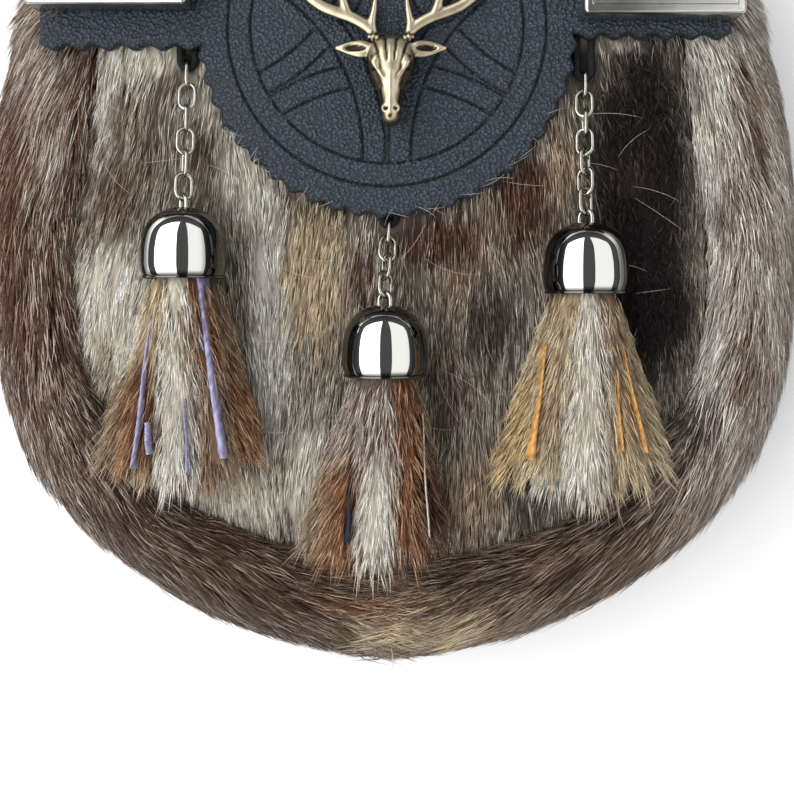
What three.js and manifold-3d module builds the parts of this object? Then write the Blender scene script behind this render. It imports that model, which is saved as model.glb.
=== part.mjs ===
// Sporran pouch, lying on its back: +X right, +Y towards the belt, +Z out of the front.
// All sizes are in millimetres.

import * as THREE from 'three';
import { mergeVertices } from 'three/addons/utils/BufferGeometryUtils.js';
import Module from 'manifold-3d';

const wasm = await Module();
wasm.setup();

// Driving dimensions

const GAP = 0.3;

const STATIONS = 54;
const HIDE = 2.0;
const RING_MIDDLE_Z = 22;
const RING_END_Z = 26;
const LOCK_DEPTH = 0.2;

const BACK_Z = 5.8;
const BACK_TOP_Y = 80;
const BACK_SEAM = 9.3;

const PANEL_TOP_Y = 72;
const PANEL_EDGE_TOP = 36.3;
const PANEL_EDGE_UNDER = 32.8;
const PANEL_DOME = 2.2;
const PANEL_PILE = 3.2;
const PANEL_PILE_RISE = 12;
const PANEL_LOCK = 1.5;

const FLAP_THICK = 2.4;
const FLAP_UNDER = 42;
const FLAP_TOP = FLAP_UNDER + FLAP_THICK;
const FLAP_LEFT = -83.1;
const FLAP_RIGHT = 80.6;
const FOLD_TOP_Y = 98.1;
const TAIL_UNDER = BACK_Z + HIDE + GAP;
const TAIL_LENGTH = 18;
const TAIL_HALF_WIDE = 60;
const DISC_X = -0.9;
const DISC_Y = 56.7;
const DISC_R = 44.6;
const DISC_TEETH_STEP = 5.6;
const WING_LEFT_Y = 52.6;
const WING_RIGHT_Y = 55.2;
const WING_TEETH_STEP = 6.2;
const TOOTH = 1.3;
const GROOVE_RADII = [37.7, 32.3];
const GROOVE_WIDE = 1.3;
const GROOVE_DEEP = 0.6;

const PLATE_WIDE = 37.4;
const PLATE_TALL = 22;
const PLATE_THICK = 7.6;
const PLATE_CORNER = 1.2;
const PLATE_BEVEL = 0.5;
const PLATE_FRAME = 2.4;
const PLATE_FRAME_DEEP = 0.5;
const PLATES = [
  { name: 'plate_left', x: -65.3, y: 71 },
  { name: 'plate_right', x: 63.1, y: 68.8 },
];

const BADGE_X = 0.1;
const BADGE_BASE = FLAP_TOP + GAP;

const LINK_WIRE = 0.85;
const LINK_LONG = 7.4;
const LINK_WIDE = 4.7;
const LINK_PLAY = 0.15;
const THONG_THICK = 1.8;
const THONG_LONG = 14;
const THONG_WIDE = 5.4;
const THONG_Z = FLAP_UNDER - THONG_THICK / 2 - GAP;
const THONG_HOLLOW = { across: 5.6, along: 16.5, deep: 4.4, ahead: 3 };
const EYE_WIRE = 1.1;
const EYE_WIDE = 5;
const EYE_LONG = 6;
const EYE_SUNK = 2.6;

const CAP_R = 9.95;
const CAP_HIGH = 16.6;
const CAP_WALL = 1.0;
const CAP_Z = 49.4;
const CAP_SIDES = 16;
const CAP_HOLLOW_BELOW = 11;
const HEAD_R = CAP_R - CAP_WALL - GAP;
const HEAD_DEEP = 9;
const TASSEL_UNDER = 42.7;
const STRIP_THICK = 6;
const STRIP_SIDES = 5;

const LOOP_WIDE = 20;
const LOOP_THICK = 2;
const LOOP_OUTER_Z = 0.3;
const LOOP_X = 34;
const LOOP_Y = 44;

// The front seam and the outer line of the fur, from the right end of the ring under the flap
// down to the bottom centre. tall is the share of the ring's full depth.
const RING = [
  { seam: [63.0, 84.5], fur: [84.0, 86.0], tall: 0.48 },
  { seam: [65.5, 77.0], fur: [88.0, 76.5], tall: 0.64 },
  { seam: [68.5, 66.0], fur: [92.5, 67.5], tall: 0.92 },
  { seam: [71.1, 54.0], fur: [95.2, 57.0], tall: 0.97 },
  { seam: [73.4, 34.0], fur: [99.2, 38.0], tall: 1 },
  { seam: [77.2, 10.0], fur: [101.7, 12.0], tall: 1 },
  { seam: [77.4, -9.0], fur: [101.2, -11.0], tall: 1 },
  { seam: [74.0, -26.0], fur: [98.3, -29.5], tall: 1 },
  { seam: [66.5, -40.5], fur: [91.6, -48.0], tall: 1 },
  { seam: [54.5, -54.3], fur: [76.5, -66.8], tall: 1 },
  { seam: [37.5, -63.8], fur: [53.0, -83.6], tall: 1 },
  { seam: [19.0, -69.6], fur: [27.0, -94.0], tall: 1 },
  { seam: [0.0, -71.4], fur: [0.0, -98.1], tall: 1 },
];

// The section of the ring across the fur, n outwards from the front seam.
// lock is how much of the depth between hide and fur the valleys between the locks lose.
const RING_FUR_SECTION = [
  { n: 0.15, z: 36.4, lock: 0 },
  { n: 3.4, z: 40.0, lock: 0.4 },
  { n: 9.4, z: 42.0, lock: 0.7 },
  { n: 16.4, z: 40.3, lock: 1 },
  { n: 22.6, z: 35.4, lock: 1 },
  { n: 27.2, z: 28.4, lock: 1 },
  { n: 29.2, z: 20.4, lock: 1 },
  { n: 28.6, z: 12.4, lock: 1 },
  { n: 25.4, z: 5.4, lock: 1 },
  { n: 20.4, z: 1.0, lock: 1 },
  { n: 14.6, z: 0.0, lock: 1 },
  { n: 11.0, z: 2.4, lock: 0.4 },
  { n: 9.6, z: 5.6, lock: 0 },
];
const RING_HIDE_SECTION = [
  { n: 9.6, z: 7.8 },
  { n: 15.2, z: 10.2 },
  { n: 18.4, z: 16.6 },
  { n: 18.4, z: 24.0 },
  { n: 15.4, z: 31.0 },
  { n: 9.6, z: 34.8 },
  { n: 4.0, z: 34.8 },
  { n: 0.15, z: 32.8 },
];
const RING_FULL_WIDTH = 29.2;

// The ring is made in three lengths that meet at the lower corners, numbered by its stations.
const RING_LENGTHS = [
  { name: 'fur_gusset_right', from: 0, to: 18 },
  { name: 'fur_gusset_bottom', from: 18, to: 36 },
  { name: 'fur_gusset_left', from: 36, to: STATIONS },
];
// The share of the step between two stations that each length leaves open at a cut.
const CUT_OPEN = 0.02;

// rolls are the turns of the links about the line of the chain, in degrees from lying flat.
const TASSELS = [
  {
    side: 'left', x: -47.9, top: 13.6, long: 51, spread: 17, lean: -2.2,
    thong: { x: -48.7, y: 46.8 }, rolls: [88, 0, 78, -20, 66, -28], eyeRoll: -60, colour: '#8d7361',
  },
  {
    side: 'middle', x: -1.3, top: -9.0, long: 47, spread: 14, lean: -3.4,
    thong: { x: -0.6, y: 9.2 }, rolls: [84, -14, 62, -46], eyeRoll: -44, colour: '#8a7666',
  },
  {
    side: 'right', x: 45.2, top: 10.1, long: 50, spread: 18.5, lean: -0.2,
    thong: { x: 46.1, y: 44.4 }, rolls: [86, 10, 88, 22, -52, 40, -40], eyeRoll: -50, colour: '#b39c7c',
  },
];

// Strips of a tassel, side is the share of the spread, layer 0 lies on the pouch and 1 on top.
const STRIPS = [
  { side: -1.0, layer: 0, long: 0.9, wide: 8.0 },
  { side: -0.42, layer: 0, long: 0.97, wide: 9.0 },
  { side: 0.3, layer: 0, long: 1.0, wide: 9.0 },
  { side: 1.0, layer: 0, long: 0.88, wide: 8.0 },
  { side: -0.68, layer: 1, long: 0.93, wide: 8.5 },
  { side: 0.02, layer: 1, long: 0.99, wide: 10.0 },
  { side: 0.66, layer: 1, long: 0.94, wide: 8.5 },
];

// How a strip swells from inside the cap to its tip.
const STRIP_INSIDE = 1.5;
const STRIP_SWELL = [
  { share: 0, swell: 0.5, thick: 0.5 },
  { share: 0.09, swell: 0.85, thick: 0.9 },
  { share: 0.4, swell: 1.05, thick: 1 },
  { share: 0.78, swell: 0.95, thick: 0.9 },
  { share: 1, swell: 0.15, thick: 0.2 },
];

const LEATHER = '#20242b';
const NICKEL = '#c9c8c4';
const SMOKED = '#6f6d6b';
const CHAIN_METAL = '#8f8b83';
const OLD_BRASS = '#9b8f78';
const FUR_DARK = '#5b4439';
const FUR_MIXED = '#8b7d70';

// Bodies from rings, sheets and curves

function materialOf(colour, roughness, metalness) {
  return new THREE.MeshStandardMaterial({ color: colour, roughness, metalness });
}

function geometryFrom(points, triangles) {
  const geometry = new THREE.BufferGeometry();
  geometry.setAttribute('position', new THREE.Float32BufferAttribute(points.flat(), 3));
  geometry.setIndex(triangles.flat());
  return geometry;
}

function meshOf(name, geometry, material) {
  const mesh = new THREE.Mesh(geometry, material);
  mesh.name = name;
  return mesh;
}

// Joins rings of equal count into one closed body. Rings run against the clock seen from behind
// the direction of travel. capFlat gives the flat outline of the end rings, where they have ends.
function loftRings(rings, capFlat) {
  const count = rings[0].length;
  const points = rings.flat();
  const triangles = [];
  const spans = capFlat ? rings.length - 1 : rings.length;
  for (let i = 0; i < spans; i += 1) {
    const here = i * count;
    const there = ((i + 1) % rings.length) * count;
    for (let j = 0; j < count; j += 1) {
      const k = (j + 1) % count;
      triangles.push([here + j, there + j, there + k]);
      triangles.push([here + j, there + k, here + k]);
    }
  }
  if (capFlat) {
    const outline = capFlat.map(([a, b]) => new THREE.Vector2(a, b));
    const last = (rings.length - 1) * count;
    const turned = THREE.ShapeUtils.isClockWise(outline);
    for (const face of THREE.ShapeUtils.triangulateShape(outline, [])) {
      const [a, b, c] = turned ? [...face].reverse() : face;
      triangles.push([a, b, c]);
      triangles.push([last + c, last + b, last + a]);
    }
  }
  const geometry = geometryFrom(points, triangles);
  return facedOut(geometry);
}

function signedVolume(geometry) {
  const position = geometry.getAttribute('position');
  const index = geometry.getIndex();
  const [a, b, c] = [new THREE.Vector3(), new THREE.Vector3(), new THREE.Vector3()];
  let volume = 0;
  for (let i = 0; i < index.count; i += 3) {
    a.fromBufferAttribute(position, index.getX(i));
    b.fromBufferAttribute(position, index.getX(i + 1));
    c.fromBufferAttribute(position, index.getX(i + 2));
    volume += a.dot(b.cross(c)) / 6;
  }
  return volume;
}

function facedOut(geometry) {
  if (signedVolume(geometry) < 0) {
    const turned = Array.from(geometry.getIndex().array);
    for (let i = 0; i < turned.length; i += 3) {
      [turned[i], turned[i + 1]] = [turned[i + 1], turned[i]];
    }
    geometry.setIndex(turned);
  }
  return geometry;
}

function polygon(sides, a, b, turn = 0) {
  return Array.from({ length: sides }, (_, i) => {
    const angle = turn + (i * 2 * Math.PI) / sides;
    return [a * Math.cos(angle), b * Math.sin(angle)];
  });
}

// A bar along stations {at: [x, y, z], wide, thick} that lies flat, wide across, thick along Z.
function bar(stations, sides) {
  const rings = stations.map((station, i) => {
    const before = stations[Math.max(i - 1, 0)].at;
    const after = stations[Math.min(i + 1, stations.length - 1)].at;
    const along = new THREE.Vector2(after[0] - before[0], after[1] - before[1]).normalize();
    return polygon(sides, station.wide / 2, station.thick / 2).map(([a, b]) => [
      station.at[0] + along.y * a,
      station.at[1] - along.x * a,
      station.at[2] + b,
    ]);
  });
  return loftRings(rings, polygon(sides, 1, 1));
}

// A ring of wire with straight sides, in the XY plane, long along Y.
function wireLoop(long, wide, wire, perEnd, sides) {
  const endR = (wide - wire) / 2;
  const straight = (long - wire) / 2 - endR;
  const rings = [];
  for (const end of [1, -1]) {
    for (let i = 0; i < perEnd; i += 1) {
      const angle = (i * Math.PI) / (perEnd - 1);
      const outX = Math.cos(angle) * end;
      const outY = Math.sin(angle) * end;
      const ring = polygon(sides, wire / 2, wire / 2).map(([a, b]) => [
        outX * (endR + a),
        outY * (endR + a) + end * straight,
        b,
      ]);
      rings.push(ring);
    }
  }
  return loftRings(rings, null);
}

function solidOf(geometry) {
  const bare = new THREE.BufferGeometry();
  bare.setAttribute('position', geometry.getAttribute('position').clone());
  if (geometry.getIndex()) {
    bare.setIndex(geometry.getIndex().clone());
  }
  const merged = mergeVertices(bare, 1e-4);
  return new wasm.Manifold(new wasm.Mesh({
    numProp: 3,
    vertProperties: Float32Array.from(merged.getAttribute('position').array),
    triVerts: Uint32Array.from(merged.getIndex().array),
  }));
}

function geometryOf(solid) {
  const mesh = solid.getMesh();
  const geometry = new THREE.BufferGeometry();
  geometry.setAttribute('position', new THREE.Float32BufferAttribute(mesh.vertProperties, 3));
  geometry.setIndex(Array.from(mesh.triVerts));
  return geometry;
}

function fuse(geometries) {
  const [first, ...rest] = geometries.map(solidOf);
  return geometryOf(rest.reduce((sum, solid) => sum.add(solid), first));
}

function cut(geometry, tools) {
  return geometryOf(tools.map(solidOf).reduce((left, tool) => left.subtract(tool), solidOf(geometry)));
}

// The ring of the body

function mirrored(rows) {
  const left = rows.slice(0, -1).reverse().map((row) => ({
    ...row,
    seam: [-row.seam[0], row.seam[1]],
    fur: [-row.fur[0], row.fur[1]],
  }));
  return [...rows, ...left];
}

function ringStations() {
  const rows = mirrored(RING);
  const curveOf = (pick) => new THREE.SplineCurve(rows.map((row) => new THREE.Vector2(...pick(row))));
  const seam = curveOf((row) => row.seam);
  const fur = curveOf((row) => row.fur);
  const tall = curveOf((row) => [row.tall, 0]);
  return Array.from({ length: STATIONS + 1 }, (_, i) => {
    const t = i / STATIONS;
    const seamAt = seam.getPoint(t);
    const out = fur.getPoint(t).sub(seamAt);
    return { seam: seamAt, out, tall: Math.min(tall.getPoint(t).x, 1) };
  });
}

const ring = ringStations();

function onRing(station, n, z) {
  const share = n / RING_FULL_WIDTH;
  return [
    station.seam.x + station.out.x * share,
    station.seam.y + station.out.y * share,
    RING_END_Z + (z - RING_END_Z) * station.tall,
  ];
}

// The valleys between the locks fall back towards the middle of the wall.
function lockedSection(i) {
  const middle = { n: 14, z: RING_MIDDLE_Z };
  return RING_FUR_SECTION.map((point, j) => {
    const valley = (i + Math.floor(j / 2)) % 2;
    const between = j % 2;
    const back = point.lock * LOCK_DEPTH * (0.75 * valley + 0.25 * between);
    return [
      THREE.MathUtils.lerp(point.n, middle.n, back),
      THREE.MathUtils.lerp(point.z, middle.z, back),
    ];
  });
}

function drawnTowards(points, others, share) {
  return points.map((point, i) => point.map((value, axis) => (
    THREE.MathUtils.lerp(value, others[i][axis], share)
  )));
}

function furGusset({ from, to }) {
  const inner = RING_HIDE_SECTION.map(({ n, z }) => [n, z]);
  const rings = ring.map((station, i) => (
    [...lockedSection(i), ...inner].map(([n, z]) => onRing(station, n, z))
  ));
  const length = rings.slice(from, to + 1);
  if (from > 0) {
    length[0] = drawnTowards(rings[from], rings[from + 1], CUT_OPEN);
  }
  if (to < STATIONS) {
    length[length.length - 1] = drawnTowards(rings[to], rings[to - 1], CUT_OPEN);
  }
  return loftRings(length, [...lockedSection(from), ...inner]);
}

// The back, a flat sheet inside the ring

function backPanel() {
  const outline = ring
    .map((station) => onRing(station, BACK_SEAM, 0))
    .filter(([, y]) => y < BACK_TOP_Y);
  const shape = new THREE.Shape(outline.map(([x, y]) => new THREE.Vector2(x, y)));
  const geometry = new THREE.ExtrudeGeometry(shape, { depth: HIDE, bevelEnabled: false });
  geometry.translate(0, 0, BACK_Z);
  return geometry;
}

// The fur-covered front, domed, with its locks staggered row by row

const PANEL_COLUMNS = [-1, -0.94, -0.76, -0.52, -0.26, 0, 0.26, 0.52, 0.76, 0.94, 1];

function panelRows() {
  const half = STATIONS / 2;
  const rows = [];
  for (let i = 0; i < half; i += 1) {
    const { x, y } = ring[i].seam;
    if (y <= PANEL_TOP_Y) {
      rows.push({ half: x - GAP, y });
    }
  }
  return [{ half: rows[0].half - 1, y: PANEL_TOP_Y }, ...rows];
}

function seamDistance(x, y) {
  return Math.min(...ring.map(({ seam }) => Math.hypot(seam.x - x, seam.y - y)));
}

function frontPanel() {
  const rows = panelRows();
  const columns = PANEL_COLUMNS.length;
  const top = [];
  const under = [];
  rows.forEach((row, i) => PANEL_COLUMNS.forEach((share, j) => {
    const x = share * row.half;
    const inside = i === rows.length - 1 ? 0 : seamDistance(x, row.y);
    const rise = Math.abs(share) === 1 ? 0 : THREE.MathUtils.smoothstep(inside, 0, PANEL_PILE_RISE);
    const valley = (i + j) % 2;
    top.push([x, row.y, PANEL_EDGE_TOP + (PANEL_DOME + PANEL_PILE - PANEL_LOCK * valley) * rise]);
    under.push([x, row.y, PANEL_EDGE_UNDER + PANEL_DOME * rise]);
  }));
  return sheetBody(top, under, rows.length, columns);
}

// A closed body between two sheets of the same grid.
function sheetBody(top, under, rows, columns) {
  const lower = top.length;
  const at = (i, j) => i * columns + j;
  const triangles = [];
  for (let i = 0; i + 1 < rows; i += 1) {
    for (let j = 0; j + 1 < columns; j += 1) {
      const [a, b, c, d] = [at(i, j), at(i, j + 1), at(i + 1, j + 1), at(i + 1, j)];
      triangles.push([a, d, c], [a, c, b]);
      triangles.push([lower + a, lower + c, lower + d], [lower + a, lower + b, lower + c]);
    }
  }
  const rim = [];
  for (let j = 0; j < columns - 1; j += 1) rim.push(at(0, j));
  for (let i = 0; i < rows - 1; i += 1) rim.push(at(i, columns - 1));
  for (let j = columns - 1; j > 0; j -= 1) rim.push(at(rows - 1, j));
  for (let i = rows - 1; i > 0; i -= 1) rim.push(at(i, 0));
  rim.forEach((a, k) => {
    const b = rim[(k + 1) % rim.length];
    triangles.push([a, b, lower + b], [a, lower + b, lower + a]);
  });
  return facedOut(geometryFrom([...top, ...under], triangles));
}

// The fur is pressed down where a thong and its first link lie in it, and under each cap.
function thongHollow({ x, y }) {
  const geometry = new THREE.SphereGeometry(1, 8, 6);
  geometry.scale(THONG_HOLLOW.across, THONG_HOLLOW.along, THONG_HOLLOW.deep);
  geometry.translate(x, y + THONG_HOLLOW.ahead, FLAP_UNDER);
  return geometry;
}

function capHollow({ x, top }) {
  const long = CAP_HIGH + CAP_HOLLOW_BELOW;
  const r = CAP_R + 2 * GAP;
  const geometry = new THREE.CylinderGeometry(r, r - GAP, long, CAP_SIDES);
  geometry.translate(x, top - long / 2, CAP_Z);
  return geometry;
}

// The flap, with pinked edges

function teethAlong(from, to, step, outwards) {
  const [a, b] = [new THREE.Vector2(...from), new THREE.Vector2(...to)];
  const count = Math.round(a.distanceTo(b) / step);
  const points = [];
  for (let i = 0; i < count; i += 1) {
    points.push(a.clone().lerp(b, i / count));
    points.push(a.clone().lerp(b, (i + 0.5) / count).add(new THREE.Vector2(0, outwards)));
  }
  return points;
}

function discTeeth(fromAngle, toAngle) {
  const count = Math.round((DISC_R * Math.abs(toAngle - fromAngle)) / DISC_TEETH_STEP);
  const points = [];
  for (let i = 0; i <= count * 2; i += 1) {
    const angle = THREE.MathUtils.lerp(fromAngle, toAngle, i / (count * 2));
    const r = DISC_R + (i % 2 ? TOOTH / 2 : -TOOTH / 2);
    points.push(new THREE.Vector2(DISC_X + r * Math.cos(angle), DISC_Y + r * Math.sin(angle)));
  }
  return points;
}

function flap() {
  const foldOuter = (FLAP_TOP - TAIL_UNDER) / 2;
  const foldInner = foldOuter - FLAP_THICK;
  const foldY = FOLD_TOP_Y - foldOuter;
  const foldZ = TAIL_UNDER + foldOuter;

  const leftMeet = Math.PI + Math.asin((DISC_Y - WING_LEFT_Y) / DISC_R);
  const rightMeet = 2 * Math.PI - Math.asin((DISC_Y - WING_RIGHT_Y) / DISC_R);
  const disc = discTeeth(leftMeet, rightMeet);
  const outline = [
    new THREE.Vector2(FLAP_RIGHT, foldY),
    new THREE.Vector2(FLAP_LEFT, foldY),
    ...teethAlong([FLAP_LEFT, WING_LEFT_Y], [disc[0].x, WING_LEFT_Y], WING_TEETH_STEP, -TOOTH),
    ...disc,
    ...teethAlong([disc.at(-1).x + 1, WING_RIGHT_Y], [FLAP_RIGHT, WING_RIGHT_Y], WING_TEETH_STEP, -TOOTH),
    new THREE.Vector2(FLAP_RIGHT, WING_RIGHT_Y),
  ];
  const front = new THREE.ExtrudeGeometry(new THREE.Shape(outline), { depth: FLAP_THICK, bevelEnabled: false });
  front.translate(0, 0, FLAP_UNDER);

  // The fold and the tail inside the back are one profile in (y, z), run across the flap.
  const profile = new THREE.Shape();
  profile.moveTo(foldY - GAP, FLAP_TOP);
  profile.lineTo(foldY, FLAP_TOP);
  profile.absarc(foldY, foldZ, foldOuter, Math.PI / 2, -Math.PI / 2, true);
  profile.lineTo(foldY - TAIL_LENGTH, TAIL_UNDER);
  profile.lineTo(foldY - TAIL_LENGTH, TAIL_UNDER + FLAP_THICK);
  profile.lineTo(foldY, TAIL_UNDER + FLAP_THICK);
  profile.absarc(foldY, foldZ, foldInner, -Math.PI / 2, Math.PI / 2, false);
  profile.lineTo(foldY - GAP, FLAP_UNDER);
  const fold = new THREE.ExtrudeGeometry(profile, {
    depth: FLAP_RIGHT - FLAP_LEFT,
    curveSegments: 10,
    bevelEnabled: false,
  });
  fold.applyMatrix4(new THREE.Matrix4().makeBasis(
    new THREE.Vector3(0, 1, 0),
    new THREE.Vector3(0, 0, 1),
    new THREE.Vector3(1, 0, 0),
  ));
  fold.translate(FLAP_LEFT, 0, 0);

  const tailSides = [-1, 1].map((side) => {
    const away = new THREE.BoxGeometry(FLAP_RIGHT, TAIL_LENGTH, FLAP_THICK * 3);
    away.translate(
      side * (TAIL_HALF_WIDE + FLAP_RIGHT / 2),
      foldY - TAIL_LENGTH / 2 - GAP,
      TAIL_UNDER + FLAP_THICK,
    );
    return away;
  });
  const grooves = GROOVE_RADII.map((r) => {
    const groove = new THREE.LatheGeometry([
      new THREE.Vector2(r - GROOVE_WIDE / 2, FLAP_TOP + 1),
      new THREE.Vector2(r - GROOVE_WIDE / 4, FLAP_TOP - GROOVE_DEEP),
      new THREE.Vector2(r + GROOVE_WIDE / 4, FLAP_TOP - GROOVE_DEEP),
      new THREE.Vector2(r + GROOVE_WIDE / 2, FLAP_TOP + 1),
      new THREE.Vector2(r - GROOVE_WIDE / 2, FLAP_TOP + 1),
    ], 40);
    groove.rotateX(Math.PI / 2);
    groove.scale(1, 1, -1);
    groove.translate(DISC_X, DISC_Y, 0);
    return facedOut(mergedOf(groove));
  });
  return cut(fuse([front, fold]), [...tailSides, ...grooves]);
}

function mergedOf(geometry) {
  geometry.deleteAttribute('normal');
  geometry.deleteAttribute('uv');
  return mergeVertices(geometry, 1e-4);
}

// Metal on the flap

function roundedRectangle(wide, tall, corner) {
  const shape = new THREE.Shape();
  const [x, y] = [wide / 2, tall / 2];
  shape.moveTo(-x + corner, -y);
  shape.lineTo(x - corner, -y);
  shape.absarc(x - corner, -y + corner, corner, -Math.PI / 2, 0, false);
  shape.lineTo(x, y - corner);
  shape.absarc(x - corner, y - corner, corner, 0, Math.PI / 2, false);
  shape.lineTo(-x + corner, y);
  shape.absarc(-x + corner, y - corner, corner, Math.PI / 2, Math.PI, false);
  shape.lineTo(-x, -y + corner);
  shape.absarc(-x + corner, -y + corner, corner, Math.PI, 1.5 * Math.PI, false);
  return shape;
}

function plate({ x, y }) {
  const body = new THREE.ExtrudeGeometry(
    roundedRectangle(PLATE_WIDE - 2 * PLATE_BEVEL, PLATE_TALL - 2 * PLATE_BEVEL, PLATE_CORNER),
    {
      depth: PLATE_THICK - 2 * PLATE_BEVEL,
      bevelSize: PLATE_BEVEL,
      bevelThickness: PLATE_BEVEL,
      bevelSegments: 1,
      curveSegments: 2,
    },
  );
  const inset = roundedRectangle(PLATE_WIDE - 2 * PLATE_FRAME, PLATE_TALL - 2 * PLATE_FRAME, PLATE_CORNER);
  const recess = new THREE.ExtrudeGeometry(inset, { depth: 2, bevelEnabled: false, curveSegments: 2 });
  recess.translate(0, 0, PLATE_THICK - PLATE_BEVEL - PLATE_FRAME_DEEP);
  const geometry = cut(body, [recess]);
  geometry.translate(x, y, FLAP_TOP + GAP + PLATE_BEVEL);
  return geometry;
}

// Sections of the stag's head down its length, z is the height of the middle over the base.
const HEAD_SECTIONS = [
  { y: 53.6, wide: 5.2, thick: 2.4, z: 2.0 },
  { y: 52.0, wide: 9.2, thick: 5.0, z: 2.9 },
  { y: 48.7, wide: 10.6, thick: 6.8, z: 3.7 },
  { y: 44.7, wide: 9.5, thick: 7.0, z: 4.0 },
  { y: 41.4, wide: 6.6, thick: 6.4, z: 4.1 },
  { y: 38.2, wide: 4.7, thick: 5.8, z: 4.2 },
  { y: 35.8, wide: 4.9, thick: 6.0, z: 4.2 },
  { y: 33.6, wide: 4.0, thick: 4.6, z: 3.8 },
  { y: 32.6, wide: 2.0, thick: 2.4, z: 3.0 },
];

// Antler pieces of the left side, x outwards from the middle of the badge.
const ANTLER = [
  {
    name: 'beam',
    path: [
      { x: 3.4, y: 51.2, r: 1.7 }, { x: 3.9, y: 53.2, r: 1.35 }, { x: 5.0, y: 55.6, r: 1.35 },
      { x: 9.0, y: 58.2, r: 1.4 }, { x: 16.6, y: 61.2, r: 1.35 }, { x: 21.6, y: 66.0, r: 1.3 },
      { x: 23.8, y: 72.0, r: 1.15 }, { x: 22.8, y: 78.5, r: 0.95 }, { x: 19.6, y: 84.0, r: 0.4 },
    ],
  },
  {
    name: 'brow_tine',
    path: [
      { x: 4.0, y: 53.4, r: 1.1 }, { x: 4.5, y: 57.0, r: 1.05 }, { x: 4.0, y: 60.0, r: 0.8 },
      { x: 3.6, y: 63.4, r: 0.35 },
    ],
  },
  {
    name: 'second_tine',
    path: [{ x: 10.0, y: 58.6, r: 1.15 }, { x: 11.4, y: 63.0, r: 1.05 }, { x: 11.8, y: 69.0, r: 0.35 }],
  },
  {
    name: 'inner_tine',
    path: [{ x: 21.2, y: 65.6, r: 1.1 }, { x: 19.0, y: 70.6, r: 0.95 }, { x: 16.4, y: 75.6, r: 0.35 }],
  },
  {
    name: 'outer_tine',
    path: [{ x: 23.6, y: 71.4, r: 1.05 }, { x: 26.4, y: 75.6, r: 0.9 }, { x: 28.0, y: 80.6, r: 0.35 }],
  },
];
const ANTLER_Z = 1.5;
const ANTLER_FLAT = 1.9;
const ANTLER_SIDES = 5;
const BROW = { x: 3.0, y: 46.8, z: 6.6, wide: 1.5, long: 2.2, high: 1.1 };
const FOOT = { y: 46, r: 2.6, high: 1.6 };

const EAR = [
  { x: 3.6, y: 50.2, wide: 2.0, thick: 1.8 },
  { x: 6.4, y: 50.4, wide: 4.2, thick: 2.0 },
  { x: 9.6, y: 50.6, wide: 3.4, thick: 1.6 },
  { x: 13.0, y: 50.7, wide: 0.7, thick: 0.8 },
];
const EAR_Z = 3.4;

function stagBadge() {
  const parts = [
    bar(HEAD_SECTIONS.map((s) => ({ at: [0, s.y, s.z], wide: s.wide, thick: s.thick })), 10),
  ];
  for (const side of [-1, 1]) {
    for (const { path } of ANTLER) {
      const stations = path.map(({ x, y, r }) => ({
        at: [side * x, y, ANTLER_Z],
        wide: 2 * r,
        thick: ANTLER_FLAT * Math.min(1, 0.4 + r / 1.4),
      }));
      parts.push(bar(stations, ANTLER_SIDES));
    }
    const ear = EAR.map(({ x, y, wide, thick }) => ({ at: [side * x, y, EAR_Z], wide, thick }));
    parts.push(bar(ear, ANTLER_SIDES));
    const brow = new THREE.SphereGeometry(1, 6, 4);
    brow.scale(BROW.wide, BROW.long, BROW.high);
    brow.translate(side * BROW.x, BROW.y, BROW.z);
    parts.push(brow);
  }
  const foot = new THREE.CylinderGeometry(FOOT.r, FOOT.r, FOOT.high, 10);
  foot.rotateX(Math.PI / 2);
  foot.translate(0, FOOT.y, FOOT.high / 2);
  parts.push(foot);
  const geometry = fuse(parts);
  geometry.translate(BADGE_X, 0, BADGE_BASE);
  return geometry;
}

// Tassels

function capProfile() {
  const inner = CAP_R - CAP_WALL;
  const top = CAP_HIGH;
  return [
    [0, top], [3.6, top - 0.5], [6.7, top - 2.2], [8.8, top - 5.0], [9.75, top - 8.6],
    [CAP_R, 1.8], [CAP_R, 0.3], [CAP_R - 0.4, 0], [inner, 0], [inner, HEAD_DEEP + GAP], [0, HEAD_DEEP + 2],
  ].map(([r, y]) => new THREE.Vector2(r, y));
}

// A cap with its eye soldered on, mouth at y = 0 and its axis along +Y.
function capBody(eyeRoll) {
  const bell = facedOut(mergedOf(new THREE.LatheGeometry(capProfile(), CAP_SIDES)));
  const eye = wireLoop(EYE_LONG, EYE_WIDE, EYE_WIRE, 5, 6);
  eye.rotateY(THREE.MathUtils.degToRad(eyeRoll));
  eye.translate(0, CAP_HIGH - EYE_SUNK + EYE_LONG / 2, 0);
  return fuse([bell, eye]);
}

function strip(tassel, { side, layer, long, wide }) {
  const mouthX = side * HEAD_R * 0.5;
  const tipX = side * tassel.spread + tassel.lean;
  const rest = TASSEL_UNDER - CAP_Z + STRIP_THICK / 2;
  const crown = (HEAD_R - STRIP_THICK / 2 - GAP) * Math.sqrt(1 - 0.45 * side * side);
  const startZ = layer ? crown : -crown;
  const endZ = layer ? rest + 3.4 * (1 - 0.5 * Math.abs(side)) : rest;
  const stations = STRIP_SWELL.map(({ share, swell, thick }) => ({
    at: [
      THREE.MathUtils.lerp(mouthX, tipX, share * (0.75 + 0.25 * share)),
      STRIP_INSIDE - share * (tassel.long * long + STRIP_INSIDE),
      THREE.MathUtils.lerp(startZ, endZ, THREE.MathUtils.smoothstep(share, 0, 0.7)),
    ],
    wide: wide * swell,
    thick: STRIP_THICK * thick,
  }));
  return bar(stations, STRIP_SIDES);
}

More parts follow.
